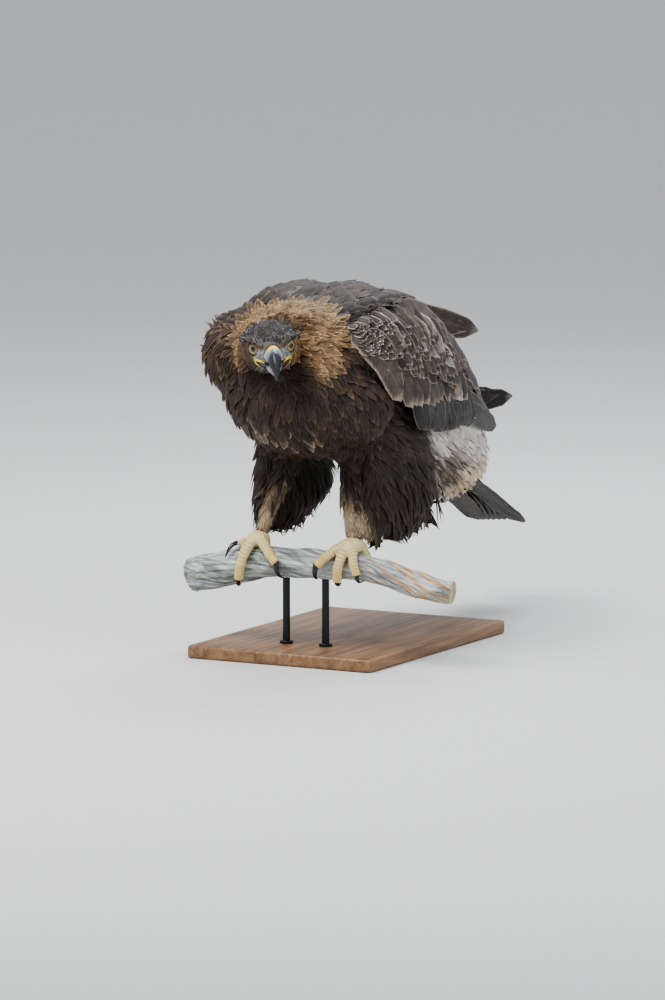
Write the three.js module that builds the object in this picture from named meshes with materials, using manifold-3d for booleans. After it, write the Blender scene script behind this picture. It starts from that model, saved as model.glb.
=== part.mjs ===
// A life-size golden eagle that crouches forward on a cut length of branch, over a plain display stand.
// Millimetres, +Z up. The bird's body faces -Y and its left side is +X. The origin is the middle of the
// stand's underside. The body, wings, legs and perch are drawn in the bird's own frame, whose origin is on
// top of the branch midway between the feet. The head and bill are drawn in a frame of their own.
import * as THREE from 'three';
import { mergeVertices } from 'three/addons/utils/BufferGeometryUtils.js';
import Module from 'manifold-3d';

const wasm = await Module();
wasm.setup();

// Driving dimensions
const GAP = 0.3; // between solids that touch
const PERCH_TOP = 150; // top of the branch above the floor
const STAND_SETBACK = 120; // the stand's middle, behind the feet
const STAND_SIZE = [280, 400, 18];
const ROD_RADIUS = 5;
const ROD_OUT = 30; // each rod from the midline
const FOOT_OUT = 71; // each foot from the midline
const HEAD_AT = [4, -107, 286]; // middle of the skull
const HEAD_TURN = 33; // degrees, towards the bird's left
const HEAD_DIP = 4; // degrees, bill down
const HEAD_ROLL = 4.6; // degrees, left side up
const EYE_AT = [18.5, -15.5, 3]; // of the left eye, in the head's frame
const EYE_RADIUS = 12.4;
const EYE_AIM = [0.6, -0.79, 0.02];

const UP = new THREE.Vector3(0, 0, 1);
const FORWARD = new THREE.Vector3(0, -1, 0);
const V = (x, y, z) => new THREE.Vector3(x, y, z);
const radians = THREE.MathUtils.degToRad;
const mix = THREE.MathUtils.lerp;

// A row of equal-length number lists read as one smooth curve, t from 0 to 1.
function along(rows, t) {
  const last = rows.length - 1;
  const place = THREE.MathUtils.clamp(t, 0, 1) * last;
  const k = Math.min(Math.floor(place), last - 1);
  const f = place - k;
  const [a, b, c, d] = [k - 1, k, k + 1, k + 2].map((i) => rows[THREE.MathUtils.clamp(i, 0, last)]);
  return b.map((_, i) => {
    const bend = 2 * a[i] - 5 * b[i] + 4 * c[i] - d[i];
    const twist = 3 * (b[i] - c[i]) + d[i] - a[i];
    return 0.5 * (2 * b[i] + f * (c[i] - a[i] + f * (bend + f * twist)));
  });
}

// Triangles on shared points, as a solid that faces out.
function closedSolid(points, faces) {
  let volume = 0;
  for (const [a, b, c] of faces)
    volume += points[a].dot(points[b].clone().cross(points[c]));
  const turned = volume < 0 ? faces.map(([a, b, c]) => [a, c, b]) : faces;
  return new wasm.Manifold(new wasm.Mesh({
    numProp: 3,
    vertProperties: Float32Array.from(points.flatMap((p) => p.toArray())),
    triVerts: Uint32Array.from(turned.flat()),
  }));
}

// A three.js geometry as a solid.
function solidOf(geometry) {
  const bare = geometry.clone().deleteAttribute('normal').deleteAttribute('uv');
  const merged = mergeVertices(bare, 1e-3);
  return new wasm.Manifold(new wasm.Mesh({
    numProp: 3,
    vertProperties: merged.attributes.position.array,
    triVerts: Uint32Array.from(merged.index.array),
  }));
}

// A closed skin over rings of equal count, with a point at each end. In a plate, whose rings go out on one
// face and back on the other, both faces are split along the same diagonal.
function skinOver(rings, first, last, plate = false) {
  const sides = rings[0].length;
  const points = [first, ...rings.flat(), last];
  const at = (ring, k) => 1 + ring * sides + (k % sides);
  const faces = [];
  for (let k = 0; k < sides; k++) {
    faces.push([0, at(0, k + 1), at(0, k)]);
    for (let r = 0; r + 1 < rings.length; r++) {
      const [a, b, c, d] = [at(r, k), at(r, k + 1), at(r + 1, k + 1), at(r + 1, k)];
      if (plate && k >= sides / 2) faces.push([a, b, d], [b, c, d]);
      else faces.push([a, b, c], [a, c, d]);
    }
    faces.push([points.length - 1, at(rings.length - 1, k), at(rings.length - 1, k + 1)]);
  }
  return closedSolid(points, faces);
}

const rounded = (value, power) => Math.sign(value) * Math.abs(value) ** power;

// A body over stations [x, y, z, half width, height up, height down] along its middle line.
// full under 1 makes the sections squarer, peak narrows their tops, reference is the way they hold upright,
// and grow fattens the body all over.
function bodyOver(stations, options = {}) {
  const { sides = 16, steps = 12, full = 1, peak = 0, reference = UP, grow = 0, blunt = 0.4 } = options;
  const rings = [];
  let ends = [];
  for (let i = 0; i <= steps; i++) {
    const t = i / steps;
    const [x, y, z, wide, high, low] = along(stations, t);
    const [before, after] = [along(stations, t - 0.01), along(stations, t + 0.01)];
    const ahead = V(...after).sub(V(...before));
    const slope = (after[3] - before[3]) / ahead.length();
    ahead.normalize();
    const shift = i === 0 ? -1 : i === steps ? 1 : -slope / Math.hypot(1, slope);
    const centre = V(x, y, z).addScaledVector(ahead, grow * shift);
    const right = new THREE.Vector3().crossVectors(ahead, reference).normalize();
    const above = new THREE.Vector3().crossVectors(right, ahead);
    const ring = [];
    for (let k = 0; k < sides; k++) {
      const angle = (k / sides) * 2 * Math.PI;
      const narrow = 1 - peak * Math.max(0, Math.sin(angle));
      const out = rounded(Math.cos(angle), full) * (wide * narrow + grow);
      const rise = rounded(Math.sin(angle), full) * ((angle < Math.PI ? high : low) + grow);
      ring.push(centre.clone().addScaledVector(right, out).addScaledVector(above, rise));
    }
    rings.push(ring);
    const poke = blunt * Math.min(wide, high, low) + grow;
    if (i === 0) ends = [V(x, y, z).addScaledVector(ahead, -poke)];
    if (i === steps) ends.push(V(x, y, z).addScaledVector(ahead, poke));
  }
  return skinOver(rings, ends[0], ends[1]);
}

// An egg with its radii along its own axes, then turned by degrees about X, Y and Z.
function egg(at, radii, turn = [0, 0, 0], grow = 0, detail = [12, 8]) {
  const geometry = new THREE.SphereGeometry(1, ...detail);
  const spin = new THREE.Quaternion().setFromEuler(new THREE.Euler(...turn.map(radians)));
  const scale = V(...radii.map((r) => r + grow));
  return solidOf(geometry.applyMatrix4(new THREE.Matrix4().compose(V(...at), spin, scale)));
}

// A round rod from one point to another.
function rod(from, to, radius, sides = 16) {
  const span = V(...to).sub(V(...from));
  const geometry = new THREE.CylinderGeometry(radius, radius, span.length(), sides);
  const spin = new THREE.Quaternion().setFromUnitVectors(V(0, 1, 0), span.clone().normalize());
  const middle = V(...from).addScaledVector(span, 0.5);
  return solidOf(geometry.applyMatrix4(new THREE.Matrix4().compose(middle, spin, V(1, 1, 1))));
}

const union = (solids) => wasm.Manifold.union(solids);

// The largest closed piece of a solid, without loose scraps.
function largest(solid) {
  return solid.decompose().sort((a, b) => b.volume() - a.volume())[0];
}

// The head's frame, which faces -Y as the body's does
const headPlace = new THREE.Matrix4().compose(
  V(...HEAD_AT),
  new THREE.Quaternion().setFromEuler(
    new THREE.Euler(radians(HEAD_DIP), radians(-HEAD_ROLL), radians(HEAD_TURN), 'ZXY'),
  ),
  V(1, 1, 1),
);
const inBirdFrame = (solid) => solid.transform(headPlace.elements);
const inHeadFrame = (solid) => solid.transform(headPlace.clone().invert().elements);

// Torso, from the breast to the tail's root
const torsoLine = [
  [-6, -90, 236, 36, 40, 38],
  [-6, -76, 232, 82, 80, 66],
  [-5, -42, 231, 103, 99, 94],
  [-4, 15, 231, 110, 110, 112],
  [-4, 80, 231, 113, 114, 118],
  [-2, 150, 218, 106, 115, 117],
  [0, 220, 190, 96, 112, 113],
  [0, 290, 150, 88, 104, 105],
  [0, 350, 108, 80, 90, 87],
  [0, 400, 86, 70, 70, 66],
  [0, 442, 76, 48, 44, 42],
];
const shoulders = [
  { at: [-86, -22, 264], radii: [53, 66, 62] },
  { at: [80, -6, 203], radii: [50, 60, 60] },
  { at: [-56, 70, 301], radii: [56, 136, 54] },
  { at: [-4, 92, 299], radii: [62, 140, 56] },
  { at: [50, 92, 294], radii: [48, 130, 54] },
];
const torsoBody = (grow = 0) => union([
  bodyOver(torsoLine, { sides: 20, steps: 13, full: 0.84, grow }),
  ...shoulders.map(({ at, radii }) => egg(at, radii, [0, 0, 0], grow, [12, 8])),
]);

// Neck, drawn in and broad with hackles
const neckLine = [
  [0, -10, 258, 76, 76, 80],
  [0, -45, 267, 78, 78, 80],
  [1, -72, 273, 73, 71, 73],
  [3, -92, 279, 62, 60, 62],
  [4, -112, 285, 48, 46, 50],
];
const neckBody = (grow = 0) => bodyOver(neckLine, { sides: 20, steps: 5, grow });

// Skull with its feathers, drawn in the head's frame
const skullLine = [
  [0, -41, -5, 11, 12, 11],
  [0, -34, -4, 19, 19, 17],
  [0, -22, -3, 29, 27, 26],
  [0, -6, -2, 37, 34, 33],
  [0, 14, -2, 42, 37, 37],
  [0, 36, -4, 44, 37, 40],
  [0, 58, -8, 44, 34, 42],
];
const HEAD_BACK = 17; // where the head meets the neck, behind the skull's middle
const MOUTH = { corner: [24, -25, -12.5], front: [13, -62, -21.5], open: 6 };

const eyeBall = (side, grow = 0) => {
  const [x, y, z] = EYE_AT;
  return egg([side * x, y, z], [EYE_RADIUS, EYE_RADIUS, EYE_RADIUS], [90, 0, 0], grow, [14, 10]);
};
const eyeAim = (side) => V(side * EYE_AIM[0], EYE_AIM[1], EYE_AIM[2]).normalize();
const eyePoint = (side, reach) =>
  V(side * EYE_AT[0], EYE_AT[1], EYE_AT[2]).addScaledVector(eyeAim(side), reach);

// A lid's rim round one eye
function lid(side) {
  const geometry = new THREE.TorusGeometry(11, 1.4, 5, 14);
  const spin = new THREE.Quaternion().setFromUnitVectors(UP, eyeAim(side));
  return solidOf(geometry.applyMatrix4(new THREE.Matrix4().compose(eyePoint(side, 6.8), spin, V(1, 1, 1))));
}

// The bony shelf over one eye
function brow(side) {
  const line = [
    [13, -37, 8, 4, 3, 3],
    [23, -29, 13.5, 5, 4, 4],
    [33, -14, 15.5, 6, 4.5, 5],
    [39, 4, 13, 4, 4, 6],
  ].map(([x, ...rest]) => [side * x, ...rest]);
  return bodyOver(line, { sides: 8, steps: 5 });
}

// The open slit between the jaws, back to the corners of the mouth
function mouthSlit() {
  const [cx, cy, cz] = MOUTH.corner;
  const [fx, fy, fz] = MOUTH.front;
  const rim = [[cx + 4, cy, cz], [fx + 14, fy, fz], [-fx - 14, fy, fz], [-cx - 4, cy, cz]];
  const rise = [0.3, MOUTH.open / 2, MOUTH.open / 2, 0.3];
  const level = (way) => rim.map(([x, y, z], i) => V(x, y, z + way * rise[i]));
  const points = [...level(1), ...level(-1)];
  const faces = [[0, 1, 2], [0, 2, 3], [4, 6, 5], [4, 7, 6]];
  for (let k = 0; k < 4; k++) {
    const next = (k + 1) % 4;
    faces.push([k, k + 4, next + 4], [k, next + 4, next]);
  }
  return closedSolid(points, faces);
}

// The fleshy rims of the gape, above and below the slit on one side
function gapeRims(side) {
  return [1, -1].map((half) => {
    const line = [
      [13, -43, -16.9 + half * 3.7, 1.7, 1.1, 1.1],
      [18.5, -36, -15.2 + half * 3.3, 1.7, 1.1, 1.1],
      [23, -29, -13.5 + half * 2.2, 1.5, 1, 1],
      [25.5, -23, -12.2 + half * 0.6, 1.2, 0.9, 0.9],
    ].map(([x, ...rest]) => [side * x, ...rest]);
    return bodyOver(line, { sides: 6, steps: 4 });
  });
}

// Bill: the cere, the hooked upper jaw and the lower jaw
const cereLine = [
  [0, -30, -5, 14, 13.5, 8],
  [0, -38, -4.5, 13.4, 13.5, 8],
  [0, -45, -4, 12.6, 13.5, 8.2],
  [0, -51, -4.5, 11.6, 12.5, 8.2],
];
const upperBillLine = [
  [0, -40, -4.5, 11.4, 12, 7.6],
  [0, -50, -4.5, 11, 12, 8],
  [0, -60, -7, 9.4, 11.2, 8],
  [0, -69, -14, 7, 9, 7],
  [0, -74, -23, 4.2, 6, 5],
  [0, -75, -32, 1.3, 1.8, 1.6],
];
const lowerBillLine = [
  [0, -24, -19.5, 11, 2.5, 6],
  [0, -40, -21, 10, 2.5, 6.2],
  [0, -52, -22.8, 7.2, 2.2, 5.6],
  [0, -61, -25.4, 4, 1.6, 4.2],
  [0, -66, -27, 1.6, 0.9, 1.6],
];
const tongueLine = [
  [0, -26, -16.6, 4, 1.6, 1.6],
  [0, -40, -17, 4.6, 1.7, 1.7],
  [0, -52, -18.6, 3.4, 1.5, 1.5],
  [0, -58, -20, 1.4, 0.9, 0.9],
];
const cereBody = (grow = 0) => bodyOver(cereLine, {
  sides: 18, steps: 4, full: 0.85, peak: 0.42, blunt: 0.05, grow,
});
const upperBillBody = (grow = 0) => bodyOver(upperBillLine, {
  sides: 18, steps: 10, full: 0.85, peak: 0.45, grow,
});
const lowerBillBody = (grow = 0) => bodyOver(lowerBillLine, { sides: 14, steps: 7, full: 0.8, grow });
const tongueBody = (grow = 0) => bodyOver(tongueLine, { sides: 8, steps: 5, grow });

function headParts() {
  const [cere, bill, lower, tongue] = [cereBody(), upperBillBody(), lowerBillBody(), tongueBody()];
  let skull = union([
    bodyOver(skullLine, { sides: 18, steps: 11, full: 0.94 }),
    ...[1, -1].flatMap((side) => [brow(side), lid(side), ...gapeRims(side)]),
  ]);
  for (const side of [1, -1]) {
    const opening = rod(eyePoint(side, 2).toArray(), eyePoint(side, 30).toArray(), 10.2, 16);
    skull = skull.subtract(eyeBall(side, GAP)).subtract(opening);
  }
  skull = skull
    .subtract(mouthSlit())
    .subtract(cereBody(GAP + 0.1))
    .subtract(upperBillBody(GAP))
    .subtract(lowerBillBody(GAP))
    .subtract(tongueBody(GAP));
  const nostrils = union([1, -1].map((side) =>
    egg([side * 9.6, -45.5, 2.4], [3.4, 1.6, 2.6], [0, 0, 0], 0, [8, 6])));
  return {
    skull,
    cere: cere.subtract(nostrils).subtract(mouthSlit()),
    bill_upper: bill.subtract(cereBody(GAP)),
    bill_lower: lower,
    tongue: tongue.subtract(lowerBillBody(GAP)),
    eye_left: eyeBall(1),
    eye_right: eyeBall(-1),
  };
}

// Branch: its middle line and radius, by distance along X
const branchLine = [
  [-175, 2, -49, 26, 26, 26],
  [-120, 0, -35, 26, 26, 26],
  [-70, 0, -24, 24, 24, 24],
  [0, 0, -21, 21.5, 21.5, 21.5],
  [75, 0, -20.4, 20.4, 20.4, 20.4],
  [110, -2, -23, 19.6, 19.6, 19.6],
  [150, -4, -32, 19, 19, 19],
  [190, -3, -42, 18.4, 18.4, 18.4],
  [222, 2, -46, 17.6, 17.6, 17.6],
];
const branchAt = (x) => {
  let t = 0.5;
  for (let i = 0, step = 0.25; i < 24; i++, step /= 2) t += along(branchLine, t)[0] < x ? step : -step;
  return along(branchLine, t);
};

// Weathered wood: a twisted grain of low ridges, and a few knots
function branchBody(grow = 0) {
  const sides = 12;
  const steps = 15;
  const rings = [];
  for (let i = 0; i <= steps; i++) {
    const t = i / steps;
    const [x, y, z, radius] = along(branchLine, t);
    const ahead = V(...along(branchLine, t + 0.01)).sub(V(...along(branchLine, t - 0.01))).normalize();
    const across = new THREE.Vector3().crossVectors(ahead, UP).normalize();
    const above = new THREE.Vector3().crossVectors(across, ahead);
    const ring = [];
    for (let k = 0; k < sides; k++) {
      const angle = (k / sides) * 2 * Math.PI;
      const grain = 0.022 * Math.sin(3 * angle + 9 * t) + 0.016 * Math.sin(5 * angle - 14 * t);
      const out = radius * (1 + grain) + grow;
      const [aside, rise] = [Math.cos(angle) * out, Math.sin(angle) * out];
      ring.push(V(x, y, z).addScaledVector(across, aside).addScaledVector(above, rise));
    }
    rings.push(ring);
  }
  const flat = (t) => V(...along(branchLine, t));
  return skinOver(rings, flat(0), flat(1));
}
const knots = (grow = 0) => union([
  egg([-146, -20, -34], [9, 9, 8], [0, 0, 0], grow),
  egg([132, 14, -38], [10, 8, 8], [0, 0, 20], grow),
  egg([176, -12, -48], [11, 8, 8], [0, 10, 0], grow),
]);

// A point over the branch: shift along it from x, angle from its top towards the front, height off its bark
function overBranch(x, angle, height) {
  const [, y, z, radius] = branchAt(x);
  const reach = radius + height;
  return V(x, y - Math.sin(radians(angle)) * reach, z + Math.cos(radians(angle)) * reach);
}

// Toes by name: [start shift, end shift, start angle, end angle, half width at root, at tip]
const toes = {
  inner: { shift: [-6, -40], angle: [14, 84], girth: [7.8, 6.4], claw: [-6, 66, 5.2] },
  middle: { shift: [0, -12], angle: [14, 128], girth: [8.1, 6.6], claw: [-2, 44, 4.8] },
  outer: { shift: [5, 20], angle: [12, 104], girth: [7.4, 6], claw: [3, 44, 4.4] },
  hind: { shift: [2, 8], angle: [-16, -88], girth: [8.8, 7.4], claw: [2, -78, 6] },
};
const rightFootToes = {
  ...toes,
  outer: { shift: [6, 28], angle: [4, 15], girth: [7.6, 6.2], claw: [13, 48, 4.8] },
  middle: { shift: [2, 18], angle: [14, 122], girth: [8.1, 6.6], claw: [6, 44, 4.8] },
};

const scalesOf = (girth, t) => mix(girth[0], girth[1], t) * (1 + 0.07 * Math.cos(t * 6 * Math.PI));

function toeBody(footX, side, toe, grow = 0) {
  const rows = [];
  for (let i = 0; i <= 8; i++) {
    const t = i / 8;
    const girth = scalesOf(toe.girth, t);
    const height = girth - 0.6 + 3 * (1 - t) ** 2;
    const point = overBranch(footX + side * mix(...toe.shift, t), mix(...toe.angle, t), height);
    rows.push([...point.toArray(), girth, girth, girth]);
  }
  return bodyOver(rows, { sides: 8, steps: 6, reference: V(1, 0.01, 0), grow });
}

function clawBody(footX, side, toe) {
  const [drift, sweep, stout] = toe.claw;
  const rows = [];
  for (let i = 0; i <= 6; i++) {
    const t = i / 6;
    const girth = mix(stout, 0.7, t ** 1.2);
    const height = mix(toe.girth[1], 1.2, t) + 5 * Math.sin(Math.PI * t) ** 1.2;
    const start = toe.angle[1] - Math.sign(sweep) * 6;
    const point = overBranch(footX + side * (toe.shift[1] + drift * t), start + sweep * t, height);
    rows.push([...point.toArray(), girth * 0.8, girth, girth]);
  }
  return bodyOver(rows, { sides: 8, steps: 5, reference: V(1, 0.01, 0) });
}

// Feathered tarsus, from the foot up to the heel inside the thigh
const shankLine = (side) => {
  const lean = side < 0 ? 15 : 9;
  return [
    [FOOT_OUT - 1, 2, 12, 11, 11.5, 11.5],
    [FOOT_OUT - 2 - lean / 5, 5, 30, 10.5, 11.5, 11.5],
    [FOOT_OUT - 6 - lean / 2, 14, 62, 12.5, 14, 14],
    [FOOT_OUT - 11 - lean, 26, 96, 15, 17, 17],
    [FOOT_OUT - 15 - lean, 40, 124, 16, 19, 19],
  ].map(([x, ...rest]) => [side * x, ...rest]);
};
const shankBody = (side, grow = 0) => bodyOver(shankLine(side), {
  sides: 12, steps: 5, reference: FORWARD, grow,
});

// Thigh with its trousers of long feathers, tips to the rear
const thighLine = (side) => [
  [58, 105, 215, 24, 62, 52],
  [67, 100, 180, 35, 88, 72],
  [75, 104, 140, 38, 92, 84],
  [81, 110, 100, 35, 94, 90],
  [83, 116, 60, 33, 102, 98],
  [84, 124, 25, 27, 105, 102],
  [88, 148, -4, 11, 78, 80],
  [89, 172, -26, 5, 40, 44],
].map(([x, ...rest]) => [side * x, ...rest]);
const BACKWARD = V(0, 1, 0);
const trouserBody = (side, grow = 0) => bodyOver(thighLine(side), {
  sides: 14, steps: 9, reference: BACKWARD, grow,
});

// Long locks that hang from the trousers' hem: start point, tip and half width
const trouserLocks = [
  [[80, 22, 48], [80, 14, 6], 10],
  [[92, 46, 40], [93, 38, 0], 11],
  [[97, 76, 40], [98, 76, -10], 12],
  [[100, 106, 36], [99, 110, -20], 13],
  [[100, 136, 30], [98, 144, -30], 13],
  [[97, 168, 30], [96, 184, -38], 12],
  [[92, 202, 44], [90, 240, -28], 12],
];
function trouserLock(side, [from, to, width], grow) {
  const rows = [0, 0.4, 0.8, 1].map((t) => {
    const point = V(...from).lerp(V(...to), t);
    const wide = width * [0.8, 1, 0.6, 0.2][Math.round(t * 2.99)];
    return [side * point.x, point.y, point.z, mix(5, 1.6, t), wide, wide];
  });
  return bodyOver(rows, { sides: 5, steps: 2, reference: BACKWARD, grow });
}
const thighBody = (side, grow = 0) => union([
  trouserBody(side, grow),
  ...trouserLocks.map((lock) => trouserLock(side, lock, grow)),
]);

function legParts(side, footX, toeSet) {
  const branch = union([branchBody(GAP), knots(GAP)]);
  const pad = (grow) => egg([footX, -2, 8], [15.5, 15.5, 12], [0, 0, 0], grow);
  const footBody = (grow) => union([
    pad(grow),
    ...Object.values(toeSet).map((toe) => toeBody(footX, side, toe, grow)),
  ]);
  const torso = torsoBody(GAP);
  const foot = footBody(0).subtract(branch);
  const shank = shankBody(side).subtract(footBody(GAP)).subtract(branch);
  const thigh = thighBody(side).subtract(torso).subtract(shankBody(side, GAP))
    .subtract(branch).subtract(footBody(GAP));
  const parts = { foot, shank: shank.subtract(torso), thigh };
  for (const [name, toe] of Object.entries(toeSet))
    parts[`claw_${name}`] = clawBody(footX, side, toe).subtract(footBody(GAP)).subtract(branch);
  return parts;
}

// Wings: each is a shield from the wrist to the tips, between a top edge and a bottom edge
const leftWing = {
  side: 1,
  top: [
    [84, -42, 316], [98, 12, 334], [92, 90, 337], [76, 180, 325],
    [62, 258, 293], [60, 322, 244], [56, 398, 174], [30, 492, 120],
  ],
  bottom: [
    [108, -40, 238], [122, 12, 192], [124, 78, 166], [116, 150, 148],
    [106, 222, 140], [94, 288, 140], [74, 370, 128], [34, 502, 108],
  ],
  bulge: [10, 16, 18, 17, 15, 12, 7, 2],
};
const rightWing = {
  side: -1,
  top: [
    [-86, -44, 302], [-100, -4, 322], [-100, 66, 332], [-86, 150, 336],
    [-66, 250, 326], [-50, 350, 306], [-34, 452, 278], [-20, 556, 248],
  ],
  bottom: [
    [-104, -36, 232], [-118, 4, 188], [-122, 66, 160], [-114, 146, 144],
    [-102, 250, 130], [-80, 375, 120], [-44, 515, 118], [-6, 646, 124],
  ],
  bulge: [10, 15, 18, 18, 16, 14, 10, 4],
};

// The outer face of a wing: u from wrist to tip, v from top edge to bottom edge, lift off the face
function wingFace(wing) {
  const bare = (u, v) => {
    const top = V(...along(wing.top, u));
    const bottom = V(...along(wing.bottom, u));
    const [swell] = along(wing.bulge.map((b) => [b]), u);
    const out = V(wing.side, 0, 0.25).normalize();
    return top.lerp(bottom, v).addScaledVector(out, swell * 4 * v * (1 - v));
  };
  const normal = (u, v) => {
    const eps = 0.01;
    const du = bare(Math.min(u + eps, 1), v).sub(bare(Math.max(u - eps, 0), v));
    const dv = bare(u, v + eps).sub(bare(u, v - eps));
    return new THREE.Vector3().crossVectors(du, dv).multiplyScalar(-wing.side).normalize();
  };
  return (u, v, lift = 0) => bare(u, v).addScaledVector(normal(u, v), lift);
}

// A feather's vane on a face: a thin plate from a root to a tip, both as [u, v, lift], rolled by degrees so
// that it lies over its neighbour's edge. Its root is sunk, and rises within the first part of its length.
function vane(face, { root, tip, width, roll = 0, thick = 1.2 }) {
  const middle = (t) => {
    const rise = Math.min(1, Math.max(0, t) / 0.35);
    return face(mix(root[0], tip[0], t), mix(root[1], tip[1], t), mix(root[2], tip[2], rise));
  };
  const out = (t) => {
    const [u, v] = [mix(root[0], tip[0], t), mix(root[1], tip[1], t)];
    return face(u, v, 1).sub(face(u, v, 0)).normalize();
  };
  const rings = [[0, 0.5], [0.35, 0.94], [0.75, 1], [0.94, 0.66]].map(([t, share]) => {
    const ahead = middle(t + 0.02).sub(middle(t - 0.02)).normalize();
    const level = new THREE.Vector3().crossVectors(out(t), ahead).normalize();
    const across = level.applyAxisAngle(ahead, radians(roll));
    const above = new THREE.Vector3().crossVectors(ahead, across).normalize();
    const half = (share * width) / 2;
    return [[-half, 0.5], [half, 0.5], [half, -0.5], [-half, -0.5]].map(([aside, up]) =>
      middle(t).addScaledVector(across, aside).addScaledVector(above, up * thick));
  });
  return skinOver(rings, middle(0), middle(1), true);
}

// A seeded run of even-looking numbers from -1 to 1
function seeded(seed) {
  let state = seed;
  return () => {
    state = (state * 1664525 + 1013904223) % 4294967296;
    return state / 2147483648 - 1;
  };
}

// Tiers of vanes on a wing: count, roots and tips from the wrist to the tip of the wing as [u, v, lift]
const leftTiers = {
  primaries: {
    count: 5, width: 32, root: [[0.5, 0.62, -2], [0.6, 0.8, -2]], tip: [[0.86, 0.35, 1], [0.985, 0.8, 1]],
  },
  secondaries: {
    count: 7, width: 42, root: [[0.17, 0.5, -3], [0.52, 0.42, -3]], tip: [[0.35, 1.04, 2], [0.74, 0.98, 2]],
  },
  greater: {
    count: 6, width: 42, root: [[0.03, 0.3, -2], [0.5, 0.2, -2]], tip: [[0.17, 0.88, 6], [0.62, 0.7, 6]],
  },
  tertials: {
    count: 4, width: 44, root: [[0.26, 0.14, -2], [0.5, 0.13, -2]], tip: [[0.56, 0.22, 9], [0.8, 0.28, 6]],
  },
};
const rightTiers = {
  ...leftTiers,
  primaries: {
    count: 4, width: 38, root: [[0.5, 0.5, -2], [0.62, 0.86, -2]], tip: [[0.78, 0.6, 1], [0.985, 0.92, 1]],
  },
  tertials: {
    count: 4, width: 46, root: [[0.3, 0.13, -2], [0.54, 0.15, -2]], tip: [[0.7, 0.14, 4], [0.985, 0.15, 2]],
  },
};

// One tier's vanes, shingled from the wrist back, with a little seeded unevenness
function tierOf(face, side, { count, root, tip, width }, seed) {
  const uneven = seeded(seed);
  const vanes = [];
  for (let k = 0; k < count; k++) {
    const t = k / (count - 1);
    const from = root[0].map((value, i) => mix(value, root[1][i], t));
    const to = tip[0].map((value, i) => mix(value, tip[1][i], t));
    const shift = 0.012 * uneven();
    vanes.push(vane(face, {
      root: from,
      tip: [Math.min(to[0] + shift, 0.99), to[1] + 1.5 * shift, to[2]],
      width: width * (1 + 0.05 * uneven()),
      roll: side * 5,
    }));
  }
  return vanes;
}

// A wing: a core shield with its tiers of vanes
function wingSolid(wing, tiers) {
  const face = wingFace(wing);
  const core = plainWing(wing, { length: 0.64, from: 0, to: 0.8, thick: (u) => mix(19, 7, u / 0.64) });
  const vanes = Object.values(tiers).flatMap((tier, i) => tierOf(face, wing.side, tier, 11 + i));
  return union([core, ...vanes]);
}

// A smooth closed shield under a wing's face, thick at the wrist and thin at the tips
function plainWing(wing, { length = 1, from = 0, to = 1, thick = (u) => mix(20, 4, u) } = {}) {
  const face = wingFace(wing);
  const rows = 6;
  const steps = 9;
  const rings = [];
  for (let i = 0; i <= steps; i++) {
    const u = (i / steps) * length;
    const ring = [];
    for (let k = 0; k <= rows; k++) ring.push(face(u, mix(from, to, k / rows)));
    for (let k = rows; k >= 0; k--) {
      const edge = Math.sin((Math.PI * (k + 0.6)) / (rows + 1.2)) ** 0.5;
      ring.push(face(u, mix(from, to, k / rows), -Math.max(1.5, thick(u) * edge)));
    }
    rings.push(ring);
  }
  const cap = (ring) => ring.reduce((sum, p) => sum.add(p), V(0, 0, 0)).divideScalar(ring.length);
  return skinOver(rings, cap(rings[0]), cap(rings[steps]), true);
}

// Tail: a closed fan that slopes down behind the torso
const TAIL_ROOT = [0, 350, 97];
const TAIL_LENGTH = 288;
const TAIL_SLOPE = 29; // degrees, down
const tailFace = (u, v, lift) => {
  const ahead = V(0, Math.cos(radians(TAIL_SLOPE)), -Math.sin(radians(TAIL_SLOPE)));
  const above = V(0, Math.sin(radians(TAIL_SLOPE)), Math.cos(radians(TAIL_SLOPE)));
  const [x, y, z] = TAIL_ROOT;
  return V(x + v, y, z).addScaledVector(ahead, u * TAIL_LENGTH).addScaledVector(above, lift);
};

// The tail's block, which its feathers grow from
function tailRoot(grow = 0) {
  const rows = [0, 0.2, 0.4, 0.52].map((u) => [
    ...tailFace(u, 0, 0).toArray(), mix(24, 38, u), mix(14, 8, u), mix(16, 8, u),
  ]);
  return bodyOver(rows, { sides: 16, steps: 5, grow });
}

// Twelve tail feathers, the middle pair on top and the others stacked below it
function tailSolid() {
  const vanes = [];
  for (let k = 0; k < 6; k++)
    for (const side of [1, -1]) {
      const lift = 5 - k * 1.9 - (side < 0 ? 0.9 : 0);
      const out = side * (4 + 6.4 * k);
      const tip = [0.99 - 0.012 * k, out + side * 2, lift];
      vanes.push(vane(tailFace, { root: [0.3, out * 0.5, lift * 0.6 - 1], tip, width: 40, thick: 0.6 }));
    }
  return union([tailRoot(), ...vanes]);
}

// Assembly
const finish = {
  feathers: { color: 0x3a2a1e, roughness: 0.75 },
  hackles: { color: 0x9a6a3a, roughness: 0.7 },
  flight: { color: 0x332b28, roughness: 0.6 },
  trousers: { color: 0x2e231c, roughness: 0.8 },
  shank: { color: 0xb59f7c, roughness: 0.85 },
  skin: { color: 0xe0b040, roughness: 0.5 },
  bill: { color: 0x3c4650, roughness: 0.3 },
  claw: { color: 0x15161a, roughness: 0.25 },
  eye: { color: 0xa07a2c, roughness: 0.05 },
  tongue: { color: 0xb06058, roughness: 0.4 },
  wood: { color: 0x9aa0a0, roughness: 0.9 },
  board: { color: 0x6b4a30, roughness: 0.5 },
  steel: { color: 0x303234, roughness: 0.35, metalness: 0.8 },
};

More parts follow.
